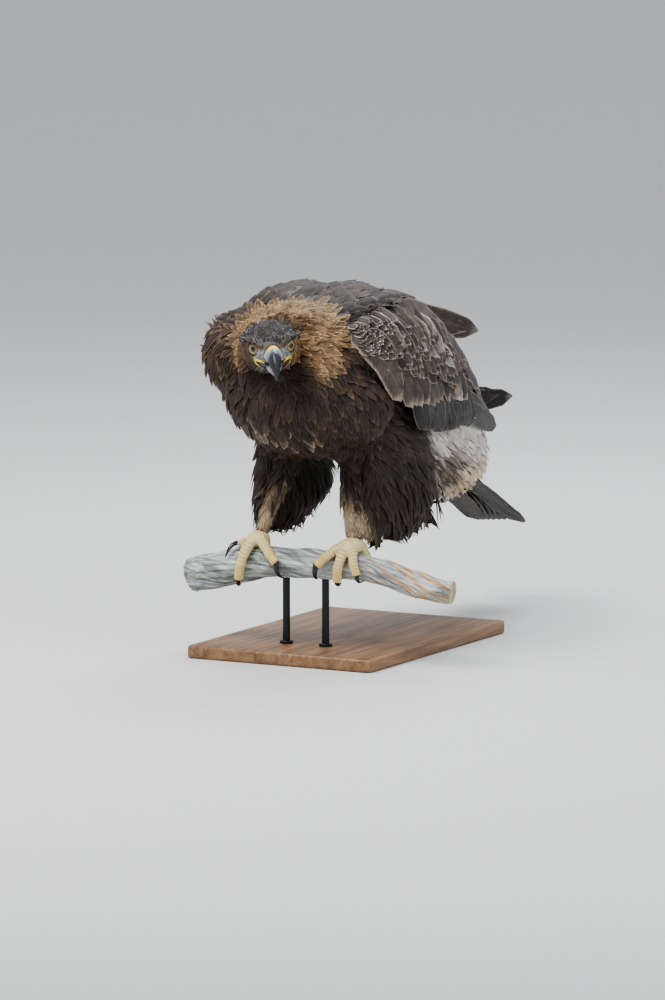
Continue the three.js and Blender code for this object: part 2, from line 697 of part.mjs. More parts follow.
// A solid as a named mesh with its own material.
function meshOf(name, solid, look) {
  const { vertProperties, triVerts } = largest(solid).getMesh();
  const geometry = new THREE.BufferGeometry();
  geometry.setAttribute('position', new THREE.BufferAttribute(vertProperties, 3));
  geometry.setIndex(new THREE.BufferAttribute(triVerts, 1));
  const mesh = new THREE.Mesh(geometry, new THREE.MeshStandardMaterial({ metalness: 0, ...finish[look] }));
  mesh.name = name;
  return mesh;
}

function buildHeadAndNeck(bird) {
  const { skull, ...rest } = headParts();
  const headGroup = new THREE.Group();
  headPlace.decompose(headGroup.position, headGroup.quaternion, headGroup.scale);
  bird.add(headGroup);
  const face = skull.trimByPlane([0, -1, 0], GAP / 2 - HEAD_BACK).subtract(inHeadFrame(torsoBody(GAP)));
  headGroup.add(meshOf('head', face, 'hackles'));
  const looks = {
    cere: 'skin', bill_upper: 'bill', bill_lower: 'bill', tongue: 'tongue', eye_left: 'eye', eye_right: 'eye',
  };
  for (const [name, solid] of Object.entries(rest)) headGroup.add(meshOf(name, solid, looks[name]));

  const towardsNape = FORWARD.clone().negate().transformDirection(headPlace);
  const meet = V(...HEAD_AT).addScaledVector(towardsNape, HEAD_BACK + GAP / 2);
  const neck = union([neckBody(), inBirdFrame(skull)])
    .trimByPlane(towardsNape.toArray(), towardsNape.dot(meet))
    .subtract(torsoBody(GAP));
  bird.add(meshOf('neck', neck, 'hackles'));
}

function buildLegs(bird) {
  const looks = { foot: 'skin', shank: 'shank', thigh: 'trousers' };
  const legs = [
    ['left', legParts(1, FOOT_OUT, toes)],
    ['right', legParts(-1, -FOOT_OUT, rightFootToes)],
  ];
  for (const [name, parts] of legs)
    for (const [part, solid] of Object.entries(parts))
      bird.add(meshOf(`${part}_${name}`, solid, looks[part] ?? 'claw'));
}

function buildWings(bird) {
  for (const [name, wing, tiers] of [['left', leftWing, leftTiers], ['right', rightWing, rightTiers]]) {
    const solid = wingSolid(wing, tiers)
      .subtract(torsoBody(GAP))
      .subtract(thighBody(wing.side, GAP))
      .subtract(neckBody(GAP))
      .subtract(tailRoot(GAP));
    bird.add(meshOf(`wing_${name}`, solid, 'flight'));
  }
}

function buildStand(root, bird) {
  const [wide, deep, thick] = STAND_SIZE;
  const baseMesh = meshOf('stand_base', solidOf(new THREE.BoxGeometry(wide, deep, thick)), 'board');
  baseMesh.position.set(0, 0, thick / 2);
  root.add(baseMesh);
  const branch = union([branchBody(), knots()]);
  const bed = union([branchBody(GAP), knots(GAP)]);
  for (const [name, x] of [['left', ROD_OUT], ['right', -ROD_OUT]]) {
    const foot = thick - PERCH_TOP + GAP;
    const rodSolid = rod([x, 0, foot], [x, 0, -20], ROD_RADIUS).subtract(bed);
    bird.add(meshOf(`stand_rod_${name}`, rodSolid, 'steel'));
  }
  bird.add(meshOf('perch_branch', branch, 'wood'));
}

const eagle = new THREE.Group();
const bird = new THREE.Group();
bird.position.set(0, -STAND_SETBACK, PERCH_TOP);
eagle.add(bird);
bird.add(meshOf('torso', torsoBody(), 'feathers'));
buildHeadAndNeck(bird);
buildLegs(bird);
buildWings(bird);
bird.add(meshOf('tail', tailSolid().subtract(torsoBody(GAP)), 'flight'));
buildStand(eagle, bird);

export default eagle;
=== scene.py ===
"""A life-size golden eagle on a cut length of branch over a display stand: its skin, feathers and finishes.
Lengths are millimetres in the bird's own frame until they become meshes, which are metres in the row frame.
The bird faces -Y, its left is +X, and its origin is on top of the branch midway between the feet."""
import math

import bmesh
import bpy
import numpy as np
from mathutils import Matrix, Vector, noise
from mathutils.bvhtree import BVHTree


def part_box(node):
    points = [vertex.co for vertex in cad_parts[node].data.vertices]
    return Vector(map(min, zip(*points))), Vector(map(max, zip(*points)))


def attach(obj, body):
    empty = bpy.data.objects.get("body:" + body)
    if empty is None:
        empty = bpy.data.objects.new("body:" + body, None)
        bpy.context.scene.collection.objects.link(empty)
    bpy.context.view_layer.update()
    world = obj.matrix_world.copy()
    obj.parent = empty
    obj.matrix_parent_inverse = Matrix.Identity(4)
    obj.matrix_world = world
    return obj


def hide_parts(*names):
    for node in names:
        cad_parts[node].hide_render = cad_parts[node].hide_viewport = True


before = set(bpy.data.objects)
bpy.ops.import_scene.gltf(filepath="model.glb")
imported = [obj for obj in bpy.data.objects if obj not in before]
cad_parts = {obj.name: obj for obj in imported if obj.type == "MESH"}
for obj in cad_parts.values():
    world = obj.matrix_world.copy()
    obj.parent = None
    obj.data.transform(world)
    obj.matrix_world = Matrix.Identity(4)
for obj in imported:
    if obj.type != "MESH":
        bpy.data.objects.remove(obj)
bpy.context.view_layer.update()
rng = np.random.default_rng(7)

BIRD_AT = np.array([0, -120, 150])
HEAD_AT = np.array([4, -107, 286])
HEAD_TURN, HEAD_DIP, HEAD_ROLL = 33, 4, 4.6
EYE_AT = (18.5, -15.5, 3)
EYE_AIM = (0.6, -0.79, 0.02)
EYE_RADIUS = 12.4
HEAD_REACH = (50, 60, 50)
FOOT_OUT = 71
CAMERA_TURN, CAMERA_RISE, CAMERA_FAR = 28, 8, 12.0
MM_PER_PIXEL = 1.35
PHOTO_SIZE = (665, 1000)


def to_row(points):
    return (np.asarray(points, float) + BIRD_AT) / 1000


def to_bird(points):
    return np.asarray(points, float) * 1000 - BIRD_AT


def unit(vectors):
    vectors = np.asarray(vectors, float)
    return vectors / np.maximum(np.linalg.norm(vectors, axis=-1, keepdims=True), 1e-9)


def step(value, low, high):
    t = np.clip((np.asarray(value, float) - low) / (high - low), 0, 1)
    return t * t * (3 - 2 * t)


def fade(value, low, high):
    return 1 - step(value, low, high)


def mix(a, b, t):
    return a + (b - a) * t


head_turn = np.array(
    Matrix.Rotation(math.radians(HEAD_TURN), 3, "Z")
    @ Matrix.Rotation(math.radians(HEAD_DIP), 3, "X")
    @ Matrix.Rotation(math.radians(-HEAD_ROLL), 3, "Y")
)


def from_head(points):
    return np.asarray(points, float) @ head_turn.T + HEAD_AT


def to_head(points):
    """Points in the head's own frame, which are called q below."""
    return (np.asarray(points, float) - HEAD_AT) @ head_turn


def on_side(place, side):
    """A place or direction given for the left side, on the left (1) or on the right (-1)."""
    return np.array([side, 1, 1]) * place


def from_eye(q):
    """Distance from the middle of the nearer eye."""
    return np.minimum(*(np.linalg.norm(q - on_side(EYE_AT, side), axis=1) for side in (1, -1)))


def spread(source, shape, most=1.8):
    """Random amounts on both sides of nought, none of them larger than most."""
    return np.clip(source.normal(size=shape), -most, most)


def along(rows, t):
    """Rows of numbers read as one smooth curve, t from 0 to 1."""
    rows = np.asarray(rows, float)
    t = np.clip(np.asarray(t, float), 0, 1) * (len(rows) - 1)
    k = np.minimum(t.astype(int), len(rows) - 2)
    f = (t - k)[..., None]
    a, b, c, d = (rows[np.clip(k + i, 0, len(rows) - 1)] for i in (-1, 0, 1, 2))
    return 0.5 * (2 * b + f * (c - a + f * (2 * a - 5 * b + 4 * c - d + f * (3 * (b - c) + d - a))))


# Materials

class Socket:
    """One output of a node, with arithmetic that makes more nodes."""

    def __init__(self, tree, socket):
        self.tree, self.socket = tree, socket

    def math(self, kind, *others):
        return make(self.tree, "Math", 0, enumerate((self, *others)), operation=kind)

    def __add__(self, other): return self.math("ADD", other)
    def __sub__(self, other): return self.math("SUBTRACT", other)
    def __mul__(self, other): return self.math("MULTIPLY", other)
    def __rsub__(self, other): return (self * -1) + other
    __radd__, __rmul__ = __add__, __mul__

    def abs(self): return self.math("ABSOLUTE")
    def sine(self): return self.math("SINE")
    def max(self, other): return self.math("MAXIMUM", other)

    def ramp(self, low, high, to=(0, 1)):
        values = enumerate((self, low, high, *to))
        return make(self.tree, "MapRange", 0, values, interpolation_type="SMOOTHSTEP")


def plug(tree, slot, value):
    if isinstance(value, Socket):
        tree.links.new(value.socket, slot)
    elif isinstance(value, tuple):
        slot.default_value = (*value, 1) if len(value) == 3 and len(slot.default_value) == 4 else value
    else:
        slot.default_value = value


def make(tree, kind, output, values=(), **settings):
    """One output of a new node, with its settings, and values or links at its inputs."""
    node = tree.nodes.new(f"ShaderNode{kind}")
    for name, setting in settings.items():
        setattr(node, name, setting)
    for key, value in values:
        plug(tree, node.inputs[key], value)
    return Socket(tree, node.outputs[output])


class Paint:
    """A material with a few short ways to make its nodes."""

    def __init__(self, name):
        self.material = bpy.data.materials.new(name)
        self.material.use_nodes = True
        self.tree = self.material.node_tree
        self.shader = next(n for n in self.tree.nodes if n.type == "BSDF_PRINCIPLED")

    def make(self, kind, output, **values):
        return make(self.tree, kind, output, values.items())

    def uv(self, name):
        place = make(self.tree, "UVMap", 0, uv_map=name)
        return [self.make("SeparateXYZ", axis, Vector=place) for axis in "XY"]

    def attribute(self, name):
        return make(self.tree, "Attribute", "Color", attribute_name=name)

    def place(self, stretch=(1, 1, 1)):
        return self.make("Mapping", 0, Vector=self.make("TexCoord", "Object"), Scale=stretch)

    def noise(self, scale, detail=4, at=None, rough=0.6):
        at = at or self.place()
        return self.make("TexNoise", "Fac", Vector=at, Scale=scale, Detail=detail, Roughness=rough)

    def cell_edges(self, scale):
        values = dict(Vector=self.place(), Scale=scale).items()
        return make(self.tree, "TexVoronoi", "Distance", values, feature="DISTANCE_TO_EDGE")

    def mix(self, a, b, factor):
        return make(self.tree, "Mix", 2, (("Factor", factor), (6, a), (7, b)), data_type="RGBA")

    def bump(self, height, strength, distance):
        return self.make("Bump", 0, Height=height, Strength=strength, Distance=distance)

    def worn_tone(self, worn, dark, whole=1.15):
        """The painted tone, darker where it is worn."""
        return self.mix(self.attribute("Tone"), dark, 1 - worn.ramp(0, whole))

    def set(self, **values):
        for name, value in values.items():
            plug(self.tree, self.shader.inputs[name.replace("_", " ")], value)
        return self.material


def feather_paint(name, barbs, rough, fringe=(0.62, 0.97), tip=(0.74, 0.98)):
    """Vanes: their own tone, a fringe of another, a shaft and fine slanting barbs."""
    paint = Paint(name)
    across, length = paint.uv("Vane")
    aside = (across * 2 - 1).abs()
    barb = (length * barbs - aside * 16).sine()
    ragged = paint.noise(420, 3)
    edge = (aside + (ragged - 0.5) * 0.3).ramp(*fringe).max((length + (ragged - 0.5) * 0.12).ramp(*tip))
    worn = paint.noise(60, 3).ramp(0.35, 0.65, to=(0.72, 1.1))
    tone = paint.mix(paint.attribute("Tone"), paint.attribute("Edge"), edge)
    shade = (barb * 0.1 + 1) * worn * length.ramp(0, 0.45, to=(0.62, 1))
    shaded = paint.mix(tone, (0, 0, 0), 1 - shade.ramp(0, 1.3))
    shaft = aside.ramp(0.02, 0.07, to=(1, 0))
    pale_shaft = paint.mix(shaded, (0.3, 0.25, 0.2), 0.16)
    colour = paint.mix(shaded, pale_shaft, shaft * length.ramp(0.7, 0.95, to=(1, 0)))
    return paint.set(Base_Color=colour, Roughness=rough, Normal=paint.bump(barb + shaft, 0.22, 0.0003),
                     Specular_IOR_Level=0.25)


# Meshes

def smooth_faces(thing):
    thing.data.polygons.foreach_set("use_smooth", np.ones(len(thing.data.polygons), bool))


def new_object(name, points, faces):
    """A smooth mesh from points in the row frame."""
    mesh = bpy.data.meshes.new(name)
    mesh.from_pydata(points.tolist(), [], np.asarray(faces).tolist())
    mesh.update()
    thing = bpy.data.objects.new(name, mesh)
    smooth_faces(thing)
    bpy.context.scene.collection.objects.link(thing)
    return thing


def points_of(thing):
    flat = np.empty(len(thing.data.vertices) * 3)
    thing.data.vertices.foreach_get("co", flat)
    return flat.reshape(-1, 3)


def normals_of(thing):
    flat = np.empty(len(thing.data.vertices) * 3)
    thing.data.vertex_normals.foreach_get("vector", flat)
    return flat.reshape(-1, 3)


def shape_of(thing):
    """Its points in the bird's frame, and their normals."""
    return to_bird(points_of(thing)), normals_of(thing)


def move_points(thing, points):
    thing.data.vertices.foreach_set("co", np.asarray(points, float).ravel())
    thing.data.update()


def colour_layer(thing, name, colours):
    layer = thing.data.color_attributes.new(name, "FLOAT_COLOR", "POINT")
    solid = np.hstack([colours, np.ones((len(colours), 1))])
    layer.data.foreach_set("color", solid.astype(np.float32).ravel())


def wear(thing, material):
    thing.data.materials.clear()
    thing.data.materials.append(material)


def pick(thing):
    bpy.ops.object.select_all(action="DESELECT")
    thing.select_set(True)
    bpy.context.view_layer.objects.active = thing


def join(first, *others):
    """Joins other meshes to the first one."""
    pick(first)
    for other in others:
        other.select_set(True)
    bpy.ops.object.join()


def apply_all(thing):
    pick(thing)
    for modifier in list(thing.modifiers):
        bpy.ops.object.modifier_apply(modifier=modifier.name)


def mend(thing, work):
    """Runs one bmesh operation on a mesh."""
    shape = bmesh.new()
    shape.from_mesh(thing.data)
    work(shape)
    shape.to_mesh(thing.data)
    shape.free()


def copy_of(name, *nodes, swell=0.0):
    """One new object with the shapes of these CAD nodes, each swollen a little."""
    copies = []
    for node in nodes:
        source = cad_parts[node]
        twin = source.copy()
        twin.data = source.data.copy()
        twin.parent = None
        twin.matrix_world = Matrix.Identity(4)
        twin.data.transform(source.matrix_world)
        bpy.context.scene.collection.objects.link(twin)
        mend(twin, lambda shape: bmesh.ops.remove_doubles(shape, verts=shape.verts, dist=1e-6))
        if swell:
            move_points(twin, points_of(twin) + normals_of(twin) * swell)
        copies.append(twin)
    join(*copies)
    copies[0].name = name
    copies[0].data.materials.clear()
    return copies[0]


def remesh(thing, voxel, smooth):
    """One closed skin of even faces, voxel metres wide, smoothed a few times."""
    modifier = thing.modifiers.new("voxels", "REMESH")
    modifier.mode = "VOXEL"
    modifier.voxel_size = voxel
    soft = thing.modifiers.new("soft", "SMOOTH")
    soft.factor = 0.5
    soft.iterations = smooth
    apply_all(thing)
    smooth_faces(thing)


def stands_for(thing, slot, *nodes):
    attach(thing, "root")
    if nodes:
        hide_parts(*nodes)


# Wings, on the same faces as the solids: u from wrist to tip, v from top edge to bottom edge

LEFT_WING = dict(
    side=1,
    top=[[84, -42, 316], [98, 12, 334], [92, 90, 337], [76, 180, 325],
         [62, 258, 293], [60, 322, 244], [56, 398, 174], [30, 492, 120]],
    bottom=[[108, -40, 238], [122, 12, 192], [124, 78, 166], [116, 150, 148],
            [106, 222, 140], [94, 288, 140], [74, 370, 128], [34, 502, 108]],
    bulge=[10, 16, 18, 17, 15, 12, 7, 2],
)
RIGHT_WING = dict(
    side=-1,
    top=[[-86, -44, 302], [-100, -4, 322], [-100, 66, 332], [-86, 150, 336],
         [-66, 250, 326], [-50, 350, 306], [-34, 452, 278], [-20, 556, 248]],
    bottom=[[-104, -36, 232], [-118, 4, 188], [-122, 66, 160], [-114, 146, 144],
            [-102, 250, 130], [-80, 375, 120], [-44, 515, 118], [-6, 646, 124]],
    bulge=[10, 15, 18, 18, 16, 14, 10, 4],
)


def wing_point(wing, u, v, lift):
    """Points lift above a wing's face, and the way out at each."""
    def bare(u, v):
        top, bottom = along(wing["top"], u), along(wing["bottom"], u)
        swell = along([[b] for b in wing["bulge"]], u)
        out = unit([wing["side"], 0, 0.25])
        v = np.asarray(v, float)[..., None]
        return mix(top, bottom, v) + out * swell * 4 * v * (1 - v)
    u, v = np.broadcast_arrays(np.asarray(u, float), np.asarray(v, float))
    du = bare(np.minimum(u + 0.01, 1), v) - bare(np.maximum(u - 0.01, 0), v)
    dv = bare(u, v + 0.01) - bare(u, v - 0.01)
    normal = -wing["side"] * unit(np.cross(du, dv))
    return bare(u, v) + normal * np.asarray(lift, float)[..., None], normal


def wing_core(wing):
    """A closed shield under a wing's face, for the skin."""
    us, rows = np.linspace(0, 0.6, 40), np.linspace(0, 0.72, 14)
    u, v = np.meshgrid(us, rows, indexing="ij")
    outer, _ = wing_point(wing, u, v, -1.5)
    deep = np.maximum(3, mix(16, 6, u / 0.6) * np.sin(np.pi * (np.arange(14) + 0.6) / 14.2) ** 0.5)
    inner, _ = wing_point(wing, u, v, -deep)
    count = u.size
    at = np.arange(count).reshape(u.shape)
    faces = []
    for a, b, c, d in zip(at[:-1, :-1].ravel(), at[1:, :-1].ravel(), at[1:, 1:].ravel(), at[:-1, 1:].ravel()):
        faces += [[a, b, c, d], [d + count, c + count, b + count, a + count]]
    rim = np.concatenate([at[:, 0], at[-1, 1:], at[-2::-1, -1], at[0, -2:0:-1]])
    for a, b in zip(rim, np.roll(rim, -1)):
        faces.append([b, a, a + count, b + count])
    core = new_object("wing_core", to_row(np.vstack([outer.reshape(-1, 3), inner.reshape(-1, 3)])), faces)
    mend(core, lambda shape: bmesh.ops.recalc_face_normals(shape, faces=shape.faces))
    return core


# Tones, as dark and pale ends of each part of the plumage

TONES = dict(
    crown=((0.021, 0.020, 0.024), (0.21, 0.175, 0.15)),
    face=((0.085, 0.052, 0.034), (0.20, 0.13, 0.085)),
    nape=((0.145, 0.080, 0.036), (0.54, 0.37, 0.205)),
    throat=((0.030, 0.020, 0.016), (0.075, 0.047, 0.032)),
    breast=((0.026, 0.018, 0.015), (0.130, 0.080, 0.050)),
    mantle=((0.028, 0.022, 0.021), (0.135, 0.100, 0.080)),
    flank=((0.030, 0.020, 0.016), (0.115, 0.070, 0.044)),
    vent=((0.60, 0.54, 0.47), (0.86, 0.82, 0.75)),
    trouser=((0.022, 0.016, 0.014), (0.100, 0.062, 0.042)),
    shank=((0.30, 0.21, 0.13), (0.62, 0.52, 0.38)),
    covert=((0.036, 0.026, 0.023), (0.38, 0.30, 0.23)),
    flight=((0.012, 0.010, 0.011), (0.115, 0.095, 0.082)),
)
TONES = {name: np.array(pair) for name, pair in TONES.items()}


def tones_at(points, normals):
    """Region weights of plumage at points in the bird's frame."""
    x, y, z = points.T
    q = to_head(points)
    around_head = np.linalg.norm((q - [0, 2, -2]) / [48, 58, 46], axis=1)
    head = fade(around_head, 0.95, 1.15)
    turn = np.degrees(np.abs(np.arctan2(q[:, 0], q[:, 2] + 4)))
    behind = step(q[:, 1] + 12 * fade(turn, 40, 80), 2, 18)
    side = np.abs(q[:, 0])
    crown = head * step(q[:, 2] - 0.12 * side, 4, 11) * fade(q[:, 1], 8, 22)
    near_neck = fade(np.linalg.norm((points - [6, -58, 281]) / [75, 66, 80], axis=1), 0.84, 1.04)
    nape = np.clip(np.maximum(near_neck, head * behind) * fade(turn, 112, 138), 0, 1) * (1 - crown)
    face = head * (1 - crown) * (1 - nape)
    under = np.maximum(head, near_neck) * (1 - nape) * (1 - crown)
    lower_face = np.maximum(face * step(-q[:, 2], 12, 26), under * step(turn, 112, 138))
    face = np.maximum(face - lower_face, 0)
    lean = np.where(x > 0, 9, 15) * step(z, 12, 96)
    leg = np.abs(np.abs(x) - np.interp(z, [12, 124], [70, 56]) + lean)
    shank = fade(leg, 18, 28) * fade(y - 0.22 * z, 12, 24) * fade(z, 76, 94) * step(90 - y, 0, 10)
    rear = step(y - 0.73 * (150 - z), 128, 168)
    trouser = fade(z, 96, 150) * step(np.abs(x), 30, 48) * (1 - rear) * (1 - shank)
    vent = rear * fade(z, 160, 208)
    mantle = step(normals[:, 2], 0.15, 0.5) * step(z, 235, 290) * step(y, -60, -10)
    breast = fade(y, 20, 110)
    out = dict(crown=crown, nape=nape, throat=lower_face, face=face, shank=shank,
               trouser=trouser, vent=vent)
    left = np.clip(1 - sum(out.values()), 0, 1)
    out["mantle"] = left * mantle
    out["breast"] = left * (1 - mantle) * breast
    out["flank"] = left * (1 - mantle) * (1 - breast)
    total = sum(out.values())
    return {name: weight / np.maximum(total, 1e-6) for name, weight in out.items()}


def tint(tones, colour, share):
    """Tones drawn towards one colour, each by its own share."""
    return mix(tones, np.array(colour), share[:, None])


def blend(weights):
    """Dark and pale tones by the weights of the parts."""
    return (sum(weight[:, None] * TONES[name][i] for name, weight in weights.items()) for i in (0, 1))


# Lengths, widths, spacing, lift and pointedness of the feathers in each part
SIZES = dict(
    crown=(9.5, 5.4, 3.1, 9, 0.35), face=(7, 2.8, 1.8, 9, 0.6), nape=(21, 7.4, 4.0, 8, 0.6),
    throat=(16, 4.6, 3.0, 11, 0.8), breast=(33, 13, 7.0, 8, 0.6), mantle=(42, 21, 11.5, 4.5, 0.2),
    flank=(42, 18, 9.5, 8, 0.4), vent=(46, 7.5, 4.5, 16, 0.85), trouser=(48, 10, 5.8, 7, 0.8),
    shank=(11, 4.4, 2.6, 10, 0.65),
)


def flow_at(points, normals, weights):
    """The way feathers lie over the skin."""
    from_bill = unit((to_head(points) - [0, -52, -6]) @ head_turn.T)
    from_head_middle = unit(points - HEAD_AT)
    flows = dict(
        crown=from_bill, face=from_bill, throat=from_bill,
        nape=from_head_middle + np.array([0, 0.2, -0.35]),
        breast=np.array([0, 0.45, -0.9]) + 0.25 * from_head_middle,
        mantle=np.array([0, 1.0, -0.25]),
        flank=np.array([0, 0.9, -0.5]),
        vent=np.array([0, 0.85, -0.5]),
        trouser=np.sign(points[:, 0:1]) * [0.05, 0, 0] + [0, 0.2, -1],
        shank=np.array([0, 0.02, -1.0]),
    )
    flow = sum(weights[name][:, None] * flows[name] for name in weights)
    flow = flow - normals * np.sum(flow * normals, axis=1, keepdims=True)
    return unit(flow)


# Wider than the widest spacing of the feathers' roots
GRID_CELL = 14.0


def scatter(skin, tries):
    """Evenly spaced roots over the skin, nearer together where feathers are small."""
    mesh = skin.data
    mesh.calc_loop_triangles()
    corners = np.empty(len(mesh.loop_triangles) * 3, int)
    mesh.loop_triangles.foreach_get("vertices", corners)
    corners = corners.reshape(-1, 3)
    points, normals = shape_of(skin)
    a, b, c = (points[corners[:, i]] for i in range(3))
    area = np.linalg.norm(np.cross(b - a, c - a), axis=1) / 2
    middle, facing = (a + b + c) / 3, unit(normals[corners].mean(axis=1))
    weights = tones_at(middle, facing)
    space = sum(weights[name] * SIZES[name][2] for name in weights)
    share = area / space ** 2
    chosen = rng.choice(len(area), size=int(share.sum() * tries), p=share / share.sum())
    s, t = rng.random((2, len(chosen)))
    flip = s + t > 1
    s[flip], t[flip] = 1 - s[flip], 1 - t[flip]
    spots = a[chosen] + (b - a)[chosen] * s[:, None] + (c - a)[chosen] * t[:, None]
    gaps = space[chosen]
    grid, kept = {}, []
    keys = np.floor(spots / GRID_CELL).astype(int)
    near = [(i, j, k) for i in (-1, 0, 1) for j in (-1, 0, 1) for k in (-1, 0, 1)]
    for index, (spot, gap, key) in enumerate(zip(spots.tolist(), gaps.tolist(), keys.tolist())):
        x, y, z = spot
        cells = ((key[0] + i, key[1] + j, key[2] + k) for i, j, k in near)
        around = (other for cell in cells for other in grid.get(cell, ()))
        if all((p - x) ** 2 + (q - y) ** 2 + (r - z) ** 2 >= gap * gap for p, q, r in around):
            grid.setdefault(tuple(key), []).append(spot)
            kept.append(index)
    kept = np.array(kept)
    return spots[kept], facing[chosen][kept]


def lie_over(tree, spots, normals, flow, lengths, lifts, rows):
    """Middle lines of feathers that follow the skin back from their roots, with the way out at each point."""
    count = len(spots)
    lines = np.empty((count, rows + 1, 3))
    outs = np.empty((count, rows + 1, 3))
    settled = np.zeros(count, bool)
    for i in range(count):
        spot, out, way = Vector(spots[i]), Vector(normals[i]), Vector(flow[i])
        stride = lengths[i] / rows
        rise = math.tan(math.radians(lifts[i])) * stride
        lines[i, 0] = spot - out * 0.6
        outs[i, 0] = out
        for k in range(1, rows + 1):
            ahead = spot + way * stride
            near, face, _, _ = tree.find_nearest(ahead, 30)
            if near is not None and (near - ahead).length < 0.8 * stride and face.dot(out) > 0.35:
                spot = near
                out = (out + face * 1.5).normalized()
            else:
                spot = ahead
            way = (way - out * way.dot(out)).normalized()
            lines[i, k] = spot + out * (rise * k)
            outs[i, k] = out
        gap = tree.find_nearest(Vector(lines[i, rows]))[3]
        settled[i] = gap is not None and gap < 0.24 * lengths[i] + 2
    return lines, outs, settled


def outline(t, pointed):
    """Half width of a vane along its length, from rounded to pointed."""
    t = t[None, :]
    pointed = pointed[:, None]
    blunt = np.clip((t - 0.62) / 0.385, 0, 1) ** 2.6
    round_end = np.minimum(1, (t / 0.25 + 0.25)) * np.sqrt(np.clip(1 - blunt, 0, 1))
    sharp = np.minimum(1, t / 0.3 + 0.25) * np.clip((1.03 - t) / 0.7, 0, 1) ** 0.8
    return mix(round_end, sharp, pointed)


def bake_spot(points):
    """A place on an unwrap of the skin's own shape: body, head and legs apart."""
    x, y, z = points.T
    angle = (np.arctan2(x, z - 228 + 0.3 * np.maximum(y - 150, 0)) / (2 * np.pi)) % 1
    body = np.stack([0.01 + 0.6 * np.clip((y + 160) / 660, 0, 1), 0.01 + 0.97 * angle], 1)
    q = to_head(points)
    turn = (np.arctan2(q[:, 0], q[:, 2]) / (2 * np.pi)) % 1
    bend = np.arctan2(np.hypot(q[:, 0], q[:, 2]), -q[:, 1]) / np.pi
    head = np.stack([0.64 + 0.35 * bend, 0.64 + 0.35 * turn], 1)
    round_leg = (np.arctan2(np.abs(x) - 84, y - 100) / (2 * np.pi)) % 1
    leg_start = np.where(x > 0, 0.64, 0.82)
    leg = np.stack([leg_start + 0.16 * round_leg, 0.34 + 0.28 * np.clip((z + 50) / 200, 0, 1)], 1)
    is_head = np.linalg.norm(q / HEAD_REACH, axis=1) < 1.1
    is_leg = (z < 125) & (np.abs(x) > 40) & (y < 240)
    return np.where(is_head[:, None], head, np.where(is_leg[:, None], leg, body))


def vanes(name, lines, outs, widths, pointed, tones, edges, material, columns, ragged,
          spots=None, camber=0.22):
    """One joined mesh of many vanes over their middle lines, columns faces wide."""
    count, rows = lines.shape[0], lines.shape[1] - 1
    t = np.linspace(0, 1, rows + 1)
    s = np.linspace(-1, 1, columns + 1)
    ahead = unit(np.gradient(lines, axis=1))
    across = unit(np.cross(outs, ahead))
    above = unit(np.cross(ahead, across))
    half = outline(t, pointed) * widths[:, None] / 2
    sides = np.stack([half * (1 + ragged * rng.normal(size=half.shape)) for _ in range(2)], axis=-1)
    reach = np.where(s < 0, -sides[..., :1], sides[..., 1:]) * np.abs(s)
    sag = -camber * np.abs(s) ** 1.5 * half[..., None]
    sag = sag + 0.05 * rng.normal(size=sag.shape) * half[..., None] * np.abs(s)
    points = lines[:, :, None] + across[:, :, None] * reach[..., None] + above[:, :, None] * sag[..., None]
    points[:, -1] += ahead[:, -1, None] * (-0.10 * widths[:, None, None] * np.abs(s)[None, :, None] ** 2)
    per = (rows + 1) * (columns + 1)
    at = np.arange(per).reshape(rows + 1, columns + 1)
    quad = np.stack([at[:-1, :-1], at[:-1, 1:], at[1:, 1:], at[1:, :-1]], -1).reshape(-1, 4)
    faces = (quad[None] + (np.arange(count) * per)[:, None, None]).reshape(-1, 4)
    piece = new_object(name, to_row(points.reshape(-1, 3)), faces)
    corner = faces.ravel() % per
    owner = faces.ravel() // per
    uv = np.stack([(s[corner % (columns + 1)] + 1) / 2, t[corner // (columns + 1)]], 1)
    layer = piece.data.uv_layers.new(name="Vane")
    layer.data.foreach_set("uv", uv.astype(np.float32).ravel())
    home = bake_spot(lines[:, 0]) if spots is None else spots
    bake = piece.data.uv_layers.new(name="OFBake")
    bake.data.foreach_set("uv", (home[owner] + 0.003 * (uv - 0.5)).astype(np.float32).ravel())
    colour_layer(piece, "Tone", np.repeat(tones, per, axis=0))
    colour_layer(piece, "Edge", np.repeat(edges, per, axis=0))
    wear(piece, material)
    return piece


# Skin

# Depth of the skin under the solids' surface in each part, which leaves room for the feathers
SKIN_DEPTHS = dict(crown=1.5, face=1, nape=6, throat=3, breast=5, mantle=4, flank=5, vent=7, trouser=5,
                   shank=2.5)
BODY_VOXEL, FACE_VOXEL = 0.0038, 0.00104
HEM_LEVEL, TROUSER_END = 44, 262


def build_skin():
    """One skin over torso, neck, legs and wings, and the head's own finer skin joined to it."""
    body = copy_of("skin", "torso", "neck", "thigh_left", "thigh_right", "shank_left", "shank_right",
                   swell=0.0005)
    join(body, wing_core(LEFT_WING), wing_core(RIGHT_WING))
    remesh(body, BODY_VOXEL, smooth=7)
    points, normals = shape_of(body)
    hem = step(points[:, 1], 26, 46) * step(np.abs(points[:, 0]), 40, 55) * (points[:, 1] < TROUSER_END)
    lift = mix(0.62, 0.97, step(points[:, 1], 175, 225))
    points[:, 2] += hem * lift * np.maximum(HEM_LEVEL - points[:, 2], 0)
    weights = tones_at(points, normals)
    depth = sum(weights[name] * value for name, value in SKIN_DEPTHS.items())
    move_points(body, to_row(points - normals * depth[:, None]))
    face = copy_of("face", "head")
    remesh(face, FACE_VOXEL, smooth=3)
    points, normals = shape_of(face)
    q = to_head(points)
    bare = fade(q[:, 1], -34, -18)
    depth = 1.6 * (1 - bare) * step(from_eye(q), 13, 19)
    move_points(face, to_row(points - normals * depth[:, None]))
    join(body, face)
    return body


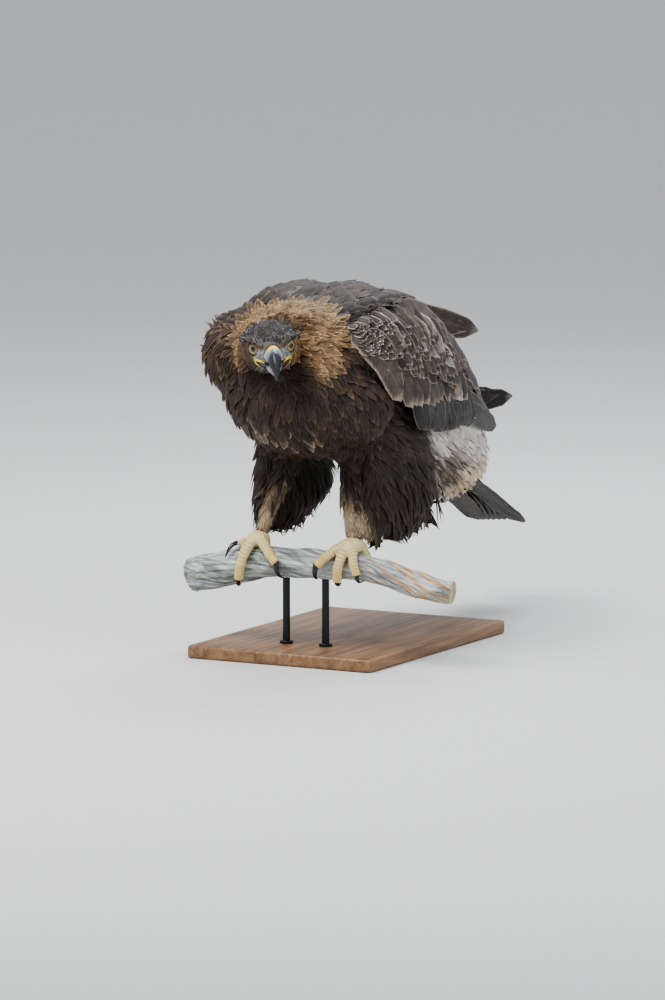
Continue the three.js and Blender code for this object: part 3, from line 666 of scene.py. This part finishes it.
def mouth_level(q):
    """Height of the slit between the jaws, which sinks forward from the corners of the mouth."""
    return -12.5 + 0.243 * np.minimum(q[:, 1] + 25, 0)


def paint_skin(skin):
    """The plumage's darker tones under the feathers, bare lores, gape and eyelids, and painted shade inside
    the mouth's slit.
    """
    points, normals = shape_of(skin)
    weights = tones_at(points, normals)
    tone = mix(*blend(weights), 0.25)
    q = to_head(points)
    in_head = np.linalg.norm(q / HEAD_REACH, axis=1) < 1
    under = mouth_level(q) - q[:, 2]
    slit = np.abs(under)
    gape = in_head * fade(slit, 4.1, 4.7) * fade(q[:, 1], -25, -22) * step(np.abs(q[:, 0]), 8, 11)
    lips = in_head & (slit < 7) & (q[:, 1] < -22)
    stations = np.arange(-62, -20, 3.0)
    wide = [np.abs(q[lips & (np.abs(q[:, 1] - at) < 2), 0]).max(initial=8) for at in stations]
    within = fade(np.abs(q[:, 0]) - np.interp(q[:, 1], stations, wide), -2.0, -0.9)
    # Painted shade: the inside of the mouth's slit, darkened almost to black for the shade in its depth
    inside = in_head * within * fade(-under, 2.9, 3.3) * fade(under, 4.0, 4.6) * fade(q[:, 1], -24, -20)
    lores = in_head * fade(q[:, 1], -34, -26) * (1 - gape) * fade(q[:, 2], 1, 6)
    lids = in_head * fade(from_eye(q), 12.6, 14.4)
    below = in_head * step(under, 3.6, 4.4) * fade(under, 8.5, 10) * fade(q[:, 1], -33, -27)
    tone = tint(tone, (0.27, 0.28, 0.29), lores)
    tone = tint(tone, (0.78, 0.58, 0.10), gape)
    tone = tint(tone, (0.50, 0.53, 0.54), 0.85 * below)
    # Painted shade inside the mouth's slit
    tone = tint(tone, (0.018, 0.006, 0.006), inside)
    tone = tint(tone, (0.075, 0.062, 0.055), lids)
    colour_layer(skin, "Tone", tone)
    paint = Paint("skin")
    worn = paint.noise(900, 4).ramp(0.3, 0.7, to=(0.75, 1.15))
    wear(skin, paint.set(Base_Color=paint.worn_tone(worn, (0.02, 0.015, 0.012), 1.2), Roughness=0.6,
                         Normal=paint.bump(paint.noise(1600, 3), 0.4, 0.0005)))


# Contour feathers

def feathered(spots, normals, q):
    """Which roots carry a feather: none on eyes, mouth, bill and soles, or where a wing hides them."""
    far_aside = np.abs(spots[:, 0])
    near_head = np.linalg.norm(q, axis=1) < 60
    off_slit = q[:, 2] - mouth_level(q)
    on_gape = near_head & (off_slit < 6.6) & (off_slit > -7.8) & (q[:, 1] < -21)
    bill = near_head & (q[:, 1] < -34) & (np.abs(q[:, 0]) < 13) & (q[:, 2] < 8)
    under_foot = (spots[:, 2] < 14) & (np.abs(spots[:, 1]) < 25)
    high = spots[:, 2] > 120
    inner = high & (far_aside > 60) & (np.sign(spots[:, 0]) * normals[:, 0] < -0.3)
    under_wing = high & (far_aside > 45) & (spots[:, 1] > 290)
    return (from_eye(q) > 13.6) & ~under_wing & ~on_gape & ~bill & ~under_foot & ~inner


# Brown and buff patches on the left of the vent: middle, reach, colour and share
VENT_PATCHES = (([72, 256, 82], [64, 50, 40], [0.085, 0.055, 0.038], 1.0),
                ([60, 352, 54], [70, 64, 44], [0.55, 0.38, 0.22], 0.85))


def coat_colours(spots, q, weights):
    """Tones and edge colours of the contour feathers, with this bird's streaks, flecks and patches."""
    count = len(spots)
    in_head = np.linalg.norm(q, axis=1) < 62
    dark, pale = blend(weights)
    shade = rng.random((count, 1))
    tones = mix(dark, pale, 0.28 * shade ** 2) * (0.8 + 0.4 * rng.random((count, 1)))
    edges = mix(mix(dark, pale, 0.35), pale, rng.random((count, 1))) * (0.85 + 0.3 * rng.random((count, 1)))
    band = np.exp(-(((spots[:, 2] - 174) / 20) ** 2)) * weights["breast"] * (np.abs(spots[:, 0] - 2) < 58)
    streak = rng.random(count) < 0.62 * band
    edges[streak] = tint(np.array([0.24, 0.15, 0.09]), (0.50, 0.42, 0.32), rng.random(int(streak.sum())))
    tones[streak] = mix(tones[streak], edges[streak], 0.3)
    gild = weights["breast"] * step(-spots[:, 0], 56, 92) * step(spots[:, 2], 210, 245)
    edges = tint(edges, (0.40, 0.27, 0.15), 0.75 * gild * rng.random(count))
    high_leg = weights["shank"] * step(spots[:, 2], 48, 80)
    tones = tint(tones, (0.11, 0.065, 0.035), 0.85 * high_leg)
    edges = tint(edges, (0.26, 0.16, 0.09), 0.8 * high_leg)
    lore = in_head * fade(q[:, 1], -29, -21) * fade(q[:, 2], 2, 7) * step(q[:, 2], -15, -9)
    tones = tint(tones, (0.36, 0.38, 0.39), 0.85 * lore * rng.random(count))
    edges = tint(edges, (0.62, 0.65, 0.66), 0.9 * lore)
    chin = in_head * fade(q[:, 1], -24, -16) * step(-q[:, 2], 16, 20)
    edges = tint(edges, (0.58, 0.57, 0.55), 0.9 * chin * rng.random(count))
    tones = tint(tones, (0.30, 0.29, 0.28), 0.7 * chin * rng.random(count))
    flecked = (rng.random(count) < 0.16) & (weights["crown"] > 0.65) & (q[:, 2] > 8)
    flecked &= (np.abs(q[:, 0]) > 18) | (q[:, 1] > 2)
    edges[flecked] = [0.62, 0.56, 0.50]
    for middle, reach, colour, share in VENT_PATCHES:
        near = weights["vent"] * fade(np.linalg.norm((spots - middle) / reach, axis=1), 0.6, 1.2)
        near = share * near * (0.6 + 0.4 * rng.random(count))
        tones, edges = tint(tones, colour, near), tint(edges, 1.5 * np.array(colour), near)
    return tones, edges


COAT_SLOTS = dict(crown="head_feathers", face="head_feathers", throat="head_feathers", nape="neck_feathers",
                  trouser="trouser_feathers", shank="shank_feathers")


def build_coat(skin):
    """Contour feathers over the whole skin, in pieces by part."""
    faces = [tuple(face.vertices) for face in skin.data.polygons]
    tree = BVHTree.FromPolygons(to_bird(points_of(skin)).tolist(), faces)
    spots, normals = scatter(skin, tries=3.2)
    weights, q = tones_at(spots, normals), to_head(spots)
    keep = feathered(spots, normals, q)
    spots, normals, q = spots[keep], normals[keep], q[keep]
    weights = {name: weight[keep] for name, weight in weights.items()}
    size = sum(weights[name][:, None] * np.array(SIZES[name]) for name in weights)
    uneven = spread(rng, (len(spots), 3))
    lengths = size[:, 0] * (1 + 0.14 * uneven[:, 0])
    widths = size[:, 1] * (1 + 0.12 * uneven[:, 1])
    lifts = size[:, 3] * (1 + 0.35 * uneven[:, 2])
    flow = flow_at(spots, normals, weights)
    sway = np.cross(normals, flow) * spread(rng, (len(spots), 1)) * 0.15
    flow = unit(flow + sway)
    tones, edges = coat_colours(spots, q, weights)
    parts = np.array(list(weights))[np.argmax(np.stack(list(weights.values())), axis=0)]
    paints = dict(
        fine=feather_paint("head_feathers", 30, 0.66),
        body=feather_paint("body_feathers", 80, 0.62),
        crown=feather_paint("crown_feathers", 30, 0.7, fringe=(0.76, 0.95), tip=(0.84, 0.97)),
    )
    for part in sorted(set(parts)):
        mine = parts == part
        small, slim = part in ("crown", "face", "throat", "shank"), part in ("nape", "vent")
        rows, columns, ragged = (3, 2, 0.05) if small else (6, 2 if slim else 4, 0.09)
        paint = paints["crown" if part == "crown" else "fine" if small else "body"]
        lines, outs, settled = lie_over(
            tree, spots[mine], normals[mine], flow[mine], lengths[mine], lifts[mine], rows)
        mine[np.flatnonzero(mine)[~settled]] = False
        piece = vanes(
            f"coat_{part}", lines[settled], outs[settled], widths[mine], np.clip(size[mine, 4], 0, 1),
            tones[mine], edges[mine], paint, columns=columns, ragged=ragged)
        stands_for(piece, COAT_SLOTS.get(part, "body_feathers"))


def build_shoulder_tuft():
    """Loose grey-brown feathers that stand out behind the right shoulder."""
    local = np.random.default_rng(51)
    count, rows = 60, 6
    roots = np.array([-95, -34, 275]) + spread(local, (count, 3), 1.6) * [3, 8, 9]
    ways = unit(np.array([-0.8, -0.25, 0.32]) + spread(local, (count, 3), 1.5) * 0.32)
    reach = (29 + 11 * local.random(count))[:, None, None]
    t = np.linspace(0, 1, rows + 1)[None, :, None]
    lines = roots[:, None] + ways[:, None] * reach * t + np.array([0, 4, 3]) * t ** 2
    facing = np.array([-0.3, -0.9, 0.35])
    outs = unit(facing - ways * (ways @ facing)[:, None])
    outs = np.repeat(outs[:, None], rows + 1, axis=1)
    tones = np.array([0.11, 0.085, 0.07]) * (0.7 + 0.6 * local.random((count, 1)))
    edges = tint(np.array([0.20, 0.16, 0.13]), (0.50, 0.46, 0.41), local.random(count))
    widths = 7 + 3 * local.random(count)
    paint = feather_paint("tuft_feathers", 60, 0.66, fringe=(0.4, 0.95))
    piece = vanes("coat_shoulder_tuft", lines, outs, widths, np.full(count, 0.8), tones, edges, paint,
                  columns=2, ragged=0.12)
    stands_for(piece, "body_feathers")


# Wing feathers

def tier(wing, spec):
    """Middle lines, ways out, widths, tones and edges of one tier, from the wrist to the tip."""
    count, covert = spec["count"], spec["tone"] == "covert"
    uneven = 0.015 if covert else 0.006
    local = np.random.default_rng(spec["seed"])
    k = np.linspace(0, 1, count)[:, None]
    jitter = spread(local, (count, 2)) * uneven
    root = mix(*np.array(spec["root"]), k)
    tip = mix(*np.array(spec["tip"]), k) + jitter
    t = np.linspace(0, 1, 13)[None, :]
    u, v = (mix(root[:, i:i + 1], tip[:, i:i + 1], t) for i in (0, 1))
    low, high = spec["lift"]
    rise = low + (high - low) * np.minimum(1, t / 0.4)
    line, out = wing_point(wing, np.clip(u, 0, 0.995), v, rise)
    widths = spec["width"] * (1 + 6 * uneven * local.normal(size=count))
    roll = math.radians(5 + 2 * local.normal()) * wing["side"]
    across = unit(np.cross(out, unit(np.gradient(line, axis=1))))
    out = unit(out * math.cos(roll) - across * math.sin(roll))
    local = np.random.default_rng(spec["seed"] + 100)
    dark, pale = TONES[spec["tone"]]
    tones = mix(dark, pale, 0.25 * local.random((count, 1))) * (0.8 + 0.4 * local.random((count, 1)))
    edges = mix(mix(dark, pale, 0.55), pale * spec.get("glow", 1.0), local.random((count, 1)))
    start = np.linspace(spec["root"][0][0], spec["root"][1][0], count)
    bleached = (local.random(count) < 0.35) & (start > 0.27) & (start < 0.5)
    faded = (bleached & covert & (spec["width"] < 40))[:, None]
    tones, edges = np.where(faded, [0.25, 0.21, 0.18], tones), np.where(faded, [0.58, 0.53, 0.48], edges)
    return line, out, widths, tones, edges


def build_wing(wing, name):
    """Flight feathers, greater and median coverts, and the small coverts of one wing."""
    flight = feather_paint(f"{name}_flight", 150, 0.5, fringe=(0.82, 0.98), tip=(0.94, 0.99))
    covert = feather_paint(f"{name}_coverts", 90, 0.6, fringe=(0.74, 0.93), tip=(0.88, 0.97))
    left = wing["side"] > 0
    primaries = dict(root=[[0.46, 0.5], [0.6, 0.86]], tip=[[0.84, 0.22], [0.985, 0.8]], width=34)
    tertials = dict(root=[[0.26, 0.13], [0.52, 0.15]], tip=[[0.54, 0.2], [0.84, 0.33]], width=44)
    if not left:
        primaries = dict(root=[[0.46, 0.5], [0.62, 0.88]], tip=[[0.76, 0.6], [0.99, 0.92]], width=38)
        tertials = dict(root=[[0.28, 0.13], [0.54, 0.15]], tip=[[0.62, 0.14], [0.99, 0.15]], width=44)
    flights = [
        dict(primaries, tone="flight", count=9, seed=31, lift=(-3, 0.5), glow=1.8),
        dict(tone="flight", count=13, root=[[0.17, 0.5], [0.54, 0.4]], tip=[[0.36, 1.0], [0.78, 0.98]],
             width=40, seed=32, lift=(-3, 2.0), glow=1.5),
        dict(tertials, tone="covert", count=6, seed=33, lift=(-1, 3.5 if left else 1.5)),
    ]
    coverts = [
        dict(tone="covert", count=13, root=[[0.02, 0.3], [0.52, 0.2]], tip=[[0.17, 0.9], [0.66, 0.72]],
             width=38, seed=34, lift=(-1, 6)),
        dict(tone="covert", count=13, root=[[0.0, 0.17], [0.46, 0.14]], tip=[[0.07, 0.52], [0.56, 0.46]],
             width=32, seed=35, lift=(0, 8)),
    ]
    for suffix, specs, paint, columns in (("flight", flights, flight, 8), ("coverts", coverts, covert, 6)):
        tiers = (tier(wing, spec) for spec in specs)
        lines, outs, widths, tones, edges = (np.concatenate(items) for items in zip(*tiers))
        _, y, z = lines[:, 0].T
        home = np.stack([0.64 + 0.35 * y / 700 + 0.1, (0.02 if left else 0.18) + 0.13 * (z / 400)], 1)
        piece = vanes(f"{name}_{suffix}", lines, outs, widths, np.full(len(widths), 0.12), tones, edges,
                      paint, spots=home, columns=columns, camber=0.1, ragged=0.02)
        stands_for(piece, "wing_feathers")
    small_coverts(wing, name, covert)


COVERT_ROWS, COVERTS_A_ROW = 10, 34


def small_coverts(wing, name, paint):
    """Rows of short rounded coverts over the arm of the wing, scaly and pale-edged at the left wrist."""
    left = wing["side"] > 0
    local = np.random.default_rng(41 if left else 42)
    spots = [((0.62 - 0.01 * row) * (k + 0.5 * (row % 2)) / COVERTS_A_ROW, 0.05 + 0.038 * row)
             for row in range(COVERT_ROWS) for k in range(COVERTS_A_ROW)]
    spots = np.array(spots) + local.normal(size=(len(spots), 2)) * [0.006, 0.01]
    grown = mix(0.5, 1.45, step(spots[:, 0] + 0.2 * spots[:, 1], 0.03, 0.38))
    kept = (local.random(len(spots)) < 0.5 / grown ** 1.6) & (spots[:, 1] > (0 if left else 0.11))
    u0, v0 = spots[kept].T
    count, grown = len(u0), grown[kept]
    t = np.linspace(0, 1, 8)[None, :]
    u = np.clip(u0[:, None] + 0.034 * grown[:, None] * t, 0, 0.99)
    v = np.maximum(v0, 0.04)[:, None] + 0.2 * grown[:, None] * t
    line, out = wing_point(wing, u, v, 1.0 + mix(8, 9 + 2 * local.random((count, 1)), t) * t)
    widths = 23 * grown * (1 + 0.1 * local.normal(size=count))
    dark, pale = TONES["covert"]
    tones = mix(dark, pale, 0.22 * local.random((count, 1))) * (0.75 + 0.5 * local.random((count, 1)))
    edges = mix(mix(dark, pale, 0.5), pale, local.random((count, 1)))
    silver = fade(u0 + 0.25 * v0, 0.12, 0.27) * left
    edges = tint(edges, (0.60, 0.57, 0.54), silver * local.random(count))
    faded = ((local.random(count) < 0.10) & (u0 > 0.26) & (u0 < 0.58))[:, None]
    tones, edges = np.where(faded, [0.30, 0.27, 0.24], tones), np.where(faded, [0.58, 0.54, 0.50], edges)
    home = np.stack([0.64 + 0.35 * u0, (0.02 if left else 0.18) + 0.13 * v0], 1)
    piece = vanes(f"{name}_small_coverts", line, out, widths, np.full(count, 0.15), tones, edges, paint,
                  spots=home, columns=4, camber=0.18, ragged=0.04)
    stands_for(piece, "wing_feathers")


TAIL_ROOT, TAIL_LENGTH, TAIL_SLOPE = np.array([0, 350, 97]), 288, math.radians(29)


def build_tail():
    """Twelve feathers in a narrow fan, each pair a little lower than the one inside it."""
    ahead = np.array([0, math.cos(TAIL_SLOPE), -math.sin(TAIL_SLOPE)])
    above = np.array([0, math.sin(TAIL_SLOPE), math.cos(TAIL_SLOPE)])
    rows = 16
    t = np.linspace(0, 1, rows + 1)
    lines, outs = [], []
    for k in range(6):
        for side in (1, -1):
            aside = side * (4 + 6.4 * k)
            lift = 5 - k * 1.9 - (0.9 if side < 0 else 0)
            u = mix(0.12, 0.99 - 0.012 * k, t)[:, None]
            line = TAIL_ROOT + ahead * u * TAIL_LENGTH + above * lift
            line[:, 0] += mix(aside * 0.35, aside, t)
            lines.append(line)
            outs.append(np.tile(unit(above + np.array([side * 0.05, 0, 0])), (rows + 1, 1)))
    count = len(lines)
    dark, pale = TONES["flight"]
    tones = mix(dark, pale, 0.3 * rng.random((count, 1)))
    edges = mix(dark, pale, 0.7 + 0.3 * rng.random((count, 1)))
    paint = feather_paint("tail_feathers", 170, 0.5, fringe=(0.85, 1.0), tip=(0.95, 0.995))
    spots = np.stack([np.full(count, 0.62), 0.3 + 0.02 * np.arange(count)], 1)
    piece = vanes("tail_feathers", np.array(lines), np.array(outs), np.full(count, 41.0), np.full(count, 0.1),
                  tones, edges, paint, spots=spots, columns=8, camber=0.06, ragged=0.015)
    stands_for(piece, "tail_feathers", "tail")


# Head: eyes, cere, bill, tongue

def build_eye(side):
    """One glossy eye with a threaded brown iris, a black pupil and a dark rim."""
    bpy.ops.mesh.primitive_uv_sphere_add(segments=72, ring_count=48, radius=1)
    eye = bpy.context.object
    eye.name = f"eye_{'left' if side > 0 else 'right'}_glass"
    local = points_of(eye)
    aim = Vector(unit(on_side(EYE_AIM, side)))
    spin = np.array(Vector((0, 0, 1)).rotation_difference(aim).to_matrix())
    place = from_head(on_side(EYE_AT, side) + (local @ spin.T) * EYE_RADIUS)
    move_points(eye, to_row(place))
    smooth_faces(eye)
    away = np.degrees(np.arccos(np.clip(local[:, 2], -1, 1)))
    turn = np.arctan2(local[:, 1], local[:, 0])
    threads = 0.5 + 0.25 * np.sin(turn * 23 + 2 * np.sin(turn * 7)) + 0.25 * np.sin(turn * 41)
    glow = threads * 0.6 + 0.4 * step(away, 42, 24)
    iris = tint(np.array([0.13, 0.078, 0.022]), (0.40, 0.29, 0.10), glow)
    colour = tint(iris, (0.006, 0.005, 0.005), fade(away, 15, 16.5))
    colour = tint(colour, (0.015, 0.010, 0.008), step(away, 44, 49))
    colour_layer(eye, "Tone", colour)
    paint = Paint(eye.name)
    flecks = paint.noise(2600, 3).ramp(0.35, 0.7, to=(0.8, 1.15))
    wear(eye, paint.set(Base_Color=paint.worn_tone(flecks, (0, 0, 0)), Roughness=0.3, Coat_Weight=0.35,
                        Coat_Roughness=0.02))
    stands_for(eye, "eye_glass", "eye_left" if side > 0 else "eye_right")


def build_bill():
    for node, voxel, smooth in (("bill_upper", 0.0007, 8), ("bill_lower", 0.0007, 6),
                                ("cere", 0.0006, 3), ("tongue", 0.0006, 4)):
        piece = copy_of(f"{node}_fine", node)
        remesh(piece, voxel, smooth)
        q = to_head(to_bird(points_of(piece)))
        paint = Paint(piece.name)
        if node.startswith("bill"):
            tip = fade(q[:, 1], -66, -50) if node == "bill_upper" else fade(q[:, 1], -60, -44)
            far = (0.016, 0.018, 0.022) if node == "bill_upper" else (0.36, 0.20, 0.18)
            tone = tint(np.array([0.30, 0.36, 0.42]), far, tip)
            grain = paint.noise(500, 4, paint.place((1, 1, 6)))
            rough = grain.ramp(0.3, 0.7, to=(0.22, 0.4))
        elif node == "cere":
            low = fade(q[:, 2], 1, 8)
            tone = tint(np.array([0.82, 0.64, 0.13]), (0.30, 0.37, 0.42), 0.95 * low)
            grain = paint.noise(900, 4)
            rough = 0.42
        else:
            tone = np.tile([0.42, 0.12, 0.10], (len(q), 1))
            grain = paint.noise(900, 4)
            rough = 0.25
        colour_layer(piece, "Tone", tone)
        worn = grain.ramp(0.3, 0.75, to=(0.75, 1.1))
        wear(piece, paint.set(Base_Color=paint.worn_tone(worn, (0.01, 0.01, 0.01)), Roughness=rough,
                              Normal=paint.bump(grain, 0.3, 0.0004)))
        slot = {"cere": "cere_skin", "tongue": "tongue_flesh"}.get(node, "bill_horn")
        stands_for(piece, slot, node)


# Feet

SCUTE_LENGTH = 3.9
PERCH_RADIUS, PERCH_DEPTH = 24, 21


def build_feet():
    """Yellow toes with scutes across their tops, and black claws."""
    toe = Paint("toe_skin")
    crease = toe.cell_edges(430).ramp(0, 0.1)
    grain = toe.noise(700, 3)
    toe.set(Base_Color=toe.mix((0.26, 0.18, 0.08), toe.attribute("Tone"), crease.ramp(0, 1, to=(0.55, 1))),
            Roughness=grain.ramp(0.3, 0.7, to=(0.42, 0.6)), Normal=toe.bump(crease, 0.5, 0.0005))
    claw = Paint("claw_horn")
    grain = claw.noise(700, 4)
    claw.set(Base_Color=claw.mix((0.008, 0.008, 0.009), (0.05, 0.045, 0.042), grain.ramp(0.45, 0.75)),
             Roughness=grain.ramp(0.3, 0.7, to=(0.16, 0.34)), Normal=claw.bump(grain, 0.15, 0.0003))
    for side in ("left", "right"):
        foot = copy_of(f"foot_{side}_fine", f"foot_{side}")
        remesh(foot, 0.001, smooth=6)
        points, normals = shape_of(foot)
        out = np.abs(points[:, 0] - (FOOT_OUT if side == "left" else -FOOT_OUT))
        wrapped = np.arctan2(np.abs(points[:, 1]), points[:, 2] + PERCH_DEPTH)
        run = np.hypot(out, PERCH_RADIUS * wrapped)
        scute = 0.5 + 0.5 * np.sin(run * 2 * np.pi / SCUTE_LENGTH)
        top = step(normals[:, 2] - 0.3 * normals[:, 1], -0.2, 0.5)
        band = top * fade(scute, 0.05, 0.3) * step(run, 14, 20)
        move_points(foot, to_row(points - normals * (0.45 * band)[:, None]))
        tone = tint(np.array([0.74, 0.62, 0.34]), (0.82, 0.56, 0.13), step(run, 22, 48) * scute)
        colour_layer(foot, "Tone", tint(tone, (0.34, 0.22, 0.09), 0.7 * band))
        wear(foot, toe.material)
        stands_for(foot, "toe_skin", f"foot_{side}")
        names = [f"claw_{kind}_{side}" for kind in ("inner", "middle", "outer", "hind")]
        claws = copy_of(f"claws_{side}", *names)
        remesh(claws, 0.0006, smooth=4)
        wear(claws, claw.material)
        stands_for(claws, "claw_horn", *names)


# Branch and stand

def build_branch():
    """Weathered wood with fibres along it, cracks, and lichen and bare tan patches."""
    branch = copy_of("perch_branch_fine", "perch_branch")
    remesh(branch, 0.0016, smooth=5)
    points, normals = shape_of(branch)
    x, y, z = points.T
    bend = np.interp(x, [-175, -120, -70, 0, 75, 110, 150, 190, 222],
                     [-49, -35, -24, -21, -20, -23, -32, -42, -46])
    angle = np.arctan2(y, z - bend)
    grain = 0.5 * np.sin(17 * angle + 0.085 * x + 1.4 * np.sin(0.03 * x + 3 * angle))
    grain = grain + 0.3 * np.sin(31 * angle + 0.16 * x)
    split = np.sin(4 * angle + 0.05 * x + 0.5 * np.sin(0.05 * x)) / 0.13
    crack = -np.exp(-(split ** 2)) * step(np.sin(0.041 * x + 2 * angle), 0, 0.6)
    ends = step(np.abs(normals[:, 0]), 0.8, 0.95)
    swell = 0.9 * np.sin(0.045 * x + 2 * angle) + 0.7 * np.sin(0.11 * x - 3 * angle + 1)
    rise = 0.5 * grain + 1.7 * crack + swell - 1.6
    move_points(branch, to_row(points + normals * (rise * (1 - ends))[:, None]))
    side = step(x, -20, 160)
    silver, tan = np.array([0.40, 0.43, 0.45]), np.array([0.50, 0.29, 0.13])
    round_up = np.stack([0.011 * x, 2.4 * np.cos(angle + 0.02 * x), 2.4 * np.sin(angle + 0.02 * x)], axis=1)
    blotch, spot = (
        np.array([noise.fractal(Vector(row), 0.8, 2.2, 5) for row in (round_up * scale + shift).tolist()])
        for scale, shift in ((1.0, 0), (2.6, 9)))
    tone = tint(silver, tan, 0.9 * side * step(blotch, 0.06, 0.22))
    tone = tint(tone, (0.15, 0.20, 0.16), (1 - side) * 0.8 * step(blotch, -0.05, 0.25))
    tone = tint(tone, (0.56, 0.60, 0.54), 0.8 * step(spot, 0.22, 0.4))
    tone = tint(tone, (0.10, 0.08, 0.06), 0.6 * step(-spot, 0.3, 0.5))
    tone = tone * (1 + 0.4 * grain[:, None]) * (1 + 0.8 * crack[:, None])
    tone = tint(tone, (0.5, 0.38, 0.24), 0.7 * ends)
    colour_layer(branch, "Tone", np.clip(tone, 0.01, 1))
    paint = Paint("weathered_wood")
    fibres = paint.noise(90, 6, paint.place((0.12, 1, 1)), 0.7)
    patches = paint.noise(26, 4)
    colour = paint.mix(paint.attribute("Tone"), (0.06, 0.06, 0.055), fibres.ramp(0.55, 0.3) * 0.7)
    colour = paint.mix(colour, (0.62, 0.64, 0.62), patches.ramp(0.55, 0.72) * 0.5)
    wear(branch, paint.set(Base_Color=colour, Roughness=0.85, Normal=paint.bump(fibres, 0.7, 0.0015)))
    stands_for(branch, "weathered_wood", "perch_branch")


ROD_SIDES = 48


def build_stand():
    """An oak board with eased edges, and two steel rods with collars."""
    low, high = np.array(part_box("stand_base"))
    bpy.ops.mesh.primitive_cube_add(size=1)
    board = bpy.context.object
    board.name = "stand_base_board"
    move_points(board, points_of(board) * (high - low) + (low + high) / 2)
    edge = board.modifiers.new("edge", "BEVEL")
    edge.width, edge.segments = 0.004, 4
    apply_all(board)
    smooth_faces(board)
    board.data.set_sharp_from_angle(angle=math.radians(50))
    oak = Paint("stand_board")
    rings = oak.noise(14, 6, oak.place((7, 0.5, 7)), 0.65)
    pores = oak.noise(160, 3, oak.place((3, 0.08, 3)))
    tone = oak.mix((0.13, 0.065, 0.032), (0.30, 0.17, 0.085), rings.ramp(0.3, 0.7))
    tone = oak.mix(tone, (0.06, 0.03, 0.018), pores.ramp(0.58, 0.72) * 0.7)
    wear(board, oak.set(Base_Color=tone, Roughness=pores.ramp(0.3, 0.7, to=(0.36, 0.52)),
                        Normal=oak.bump(pores, 0.15, 0.0004)))
    stands_for(board, "stand_board", "stand_base")
    steel = Paint("stand_steel")
    grain = steel.noise(300, 3, steel.place((1, 1, 0.1)))
    steel.set(Base_Color=(0.035, 0.036, 0.038), Metallic=0.9, Roughness=grain.ramp(0.3, 0.7, to=(0.3, 0.45)),
              Normal=steel.bump(grain, 0.05, 0.0002))
    for side in ("left", "right"):
        low, high = np.array(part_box(f"stand_rod_{side}"))
        middle = (low + high) / 2
        tall = high[2] - low[2]
        rings = [(0, 9), (3, 9), (3.8, 8.2), (3.8, 5), (tall * 1000, 5)]
        turn = np.linspace(0, 2 * np.pi, ROD_SIDES + 1)[:-1]
        points = [[r * np.cos(a), r * np.sin(a), h] for h, r in rings for a in turn]
        at = np.arange(len(points)).reshape(len(rings), ROD_SIDES)
        on = np.roll(at, -1, axis=1)
        faces = np.stack([at[:-1], on[:-1], on[1:], at[1:]], axis=-1).reshape(-1, 4)
        foot = [middle[0], middle[1], low[2]]
        rod = new_object(f"stand_rod_{side}_steel", np.array(points) / 1000 + foot, faces)
        rod.data.set_sharp_from_angle(angle=math.radians(40))
        wear(rod, steel.material)
        stands_for(rod, "stand_steel", f"stand_rod_{side}")


# Floor, light and camera

def way_to(turn, rise):
    """The way from the bird to something turned from its front and raised by these degrees."""
    a, e = math.radians(turn), math.radians(rise)
    return Vector((math.sin(a) * math.cos(e), -math.cos(a) * math.cos(e), math.sin(e)))


def build_stage():
    bpy.ops.mesh.primitive_plane_add(size=30)
    floor = bpy.context.object
    floor.name = "floor"
    paint = Paint("floor")
    wear(floor, paint.set(Base_Color=(0.62, 0.62, 0.61), Roughness=0.9))
    world = bpy.data.worlds.new("studio")
    world.use_nodes = True
    sky = world.node_tree.nodes["Background"]
    sky.inputs["Color"].default_value = (0.86, 0.9, 0.95, 1)
    sky.inputs["Strength"].default_value = 0.75
    bpy.context.scene.world = world
    target = Vector((0, 0, 0.33))
    for name, turn, rise, far, size, power, colour in (
        ("key", -20, 55, 2.6, 1.6, 75, (1, 0.98, 0.95)),
        ("fill", 75, 25, 3.0, 2.2, 26, (0.9, 0.95, 1)),
        ("back", 190, 50, 2.6, 1.4, 40, (0.95, 0.97, 1)),
    ):
        lamp = bpy.data.lights.new(name, "AREA")
        lamp.energy, lamp.size, lamp.color = power, size, colour
        holder = bpy.data.objects.new(name, lamp)
        way = way_to(turn, rise)
        holder.location = target + way * far
        holder.rotation_euler = (-way).to_track_quat("-Z", "Y").to_euler()
        bpy.context.scene.collection.objects.link(holder)


def build_camera():
    a, e = math.radians(CAMERA_TURN), math.radians(CAMERA_RISE)
    right = Vector((math.cos(a), math.sin(a), 0))
    up = Vector((-math.sin(e) * math.sin(a), math.sin(e) * math.cos(a), math.cos(e)))
    back = way_to(CAMERA_TURN, CAMERA_RISE)
    target = Vector(to_row([0, 0, 0])) + right * 0.0358 + up * 0.0648
    camera = bpy.data.cameras.new("camera")
    camera.sensor_width = 36
    camera.sensor_fit = "AUTO"
    camera.lens = 36 * CAMERA_FAR * 1000 / (MM_PER_PIXEL * PHOTO_SIZE[1])
    camera.clip_end = 100
    holder = bpy.data.objects.new("camera", camera)
    holder.location = target + back * CAMERA_FAR
    holder.rotation_euler = Matrix((right, up, back)).transposed().to_euler()
    scene = bpy.context.scene
    scene.collection.objects.link(holder)
    scene.camera = holder
    scene.render.resolution_x, scene.render.resolution_y = PHOTO_SIZE
    scene.view_settings.view_transform = "AgX"
    scene.view_settings.look = "AgX - Medium High Contrast"


build_camera()
build_stage()
skin = build_skin()
paint_skin(skin)
stands_for(skin, "body_feathers", "torso", "neck", "head", "thigh_left", "thigh_right", "shank_left",
           "shank_right", "wing_left", "wing_right")
build_coat(skin)
build_shoulder_tuft()
build_wing(LEFT_WING, "wing_left")
build_wing(RIGHT_WING, "wing_right")
build_tail()
build_eye(1)
build_eye(-1)
build_bill()
build_feet()
build_branch()
build_stand()
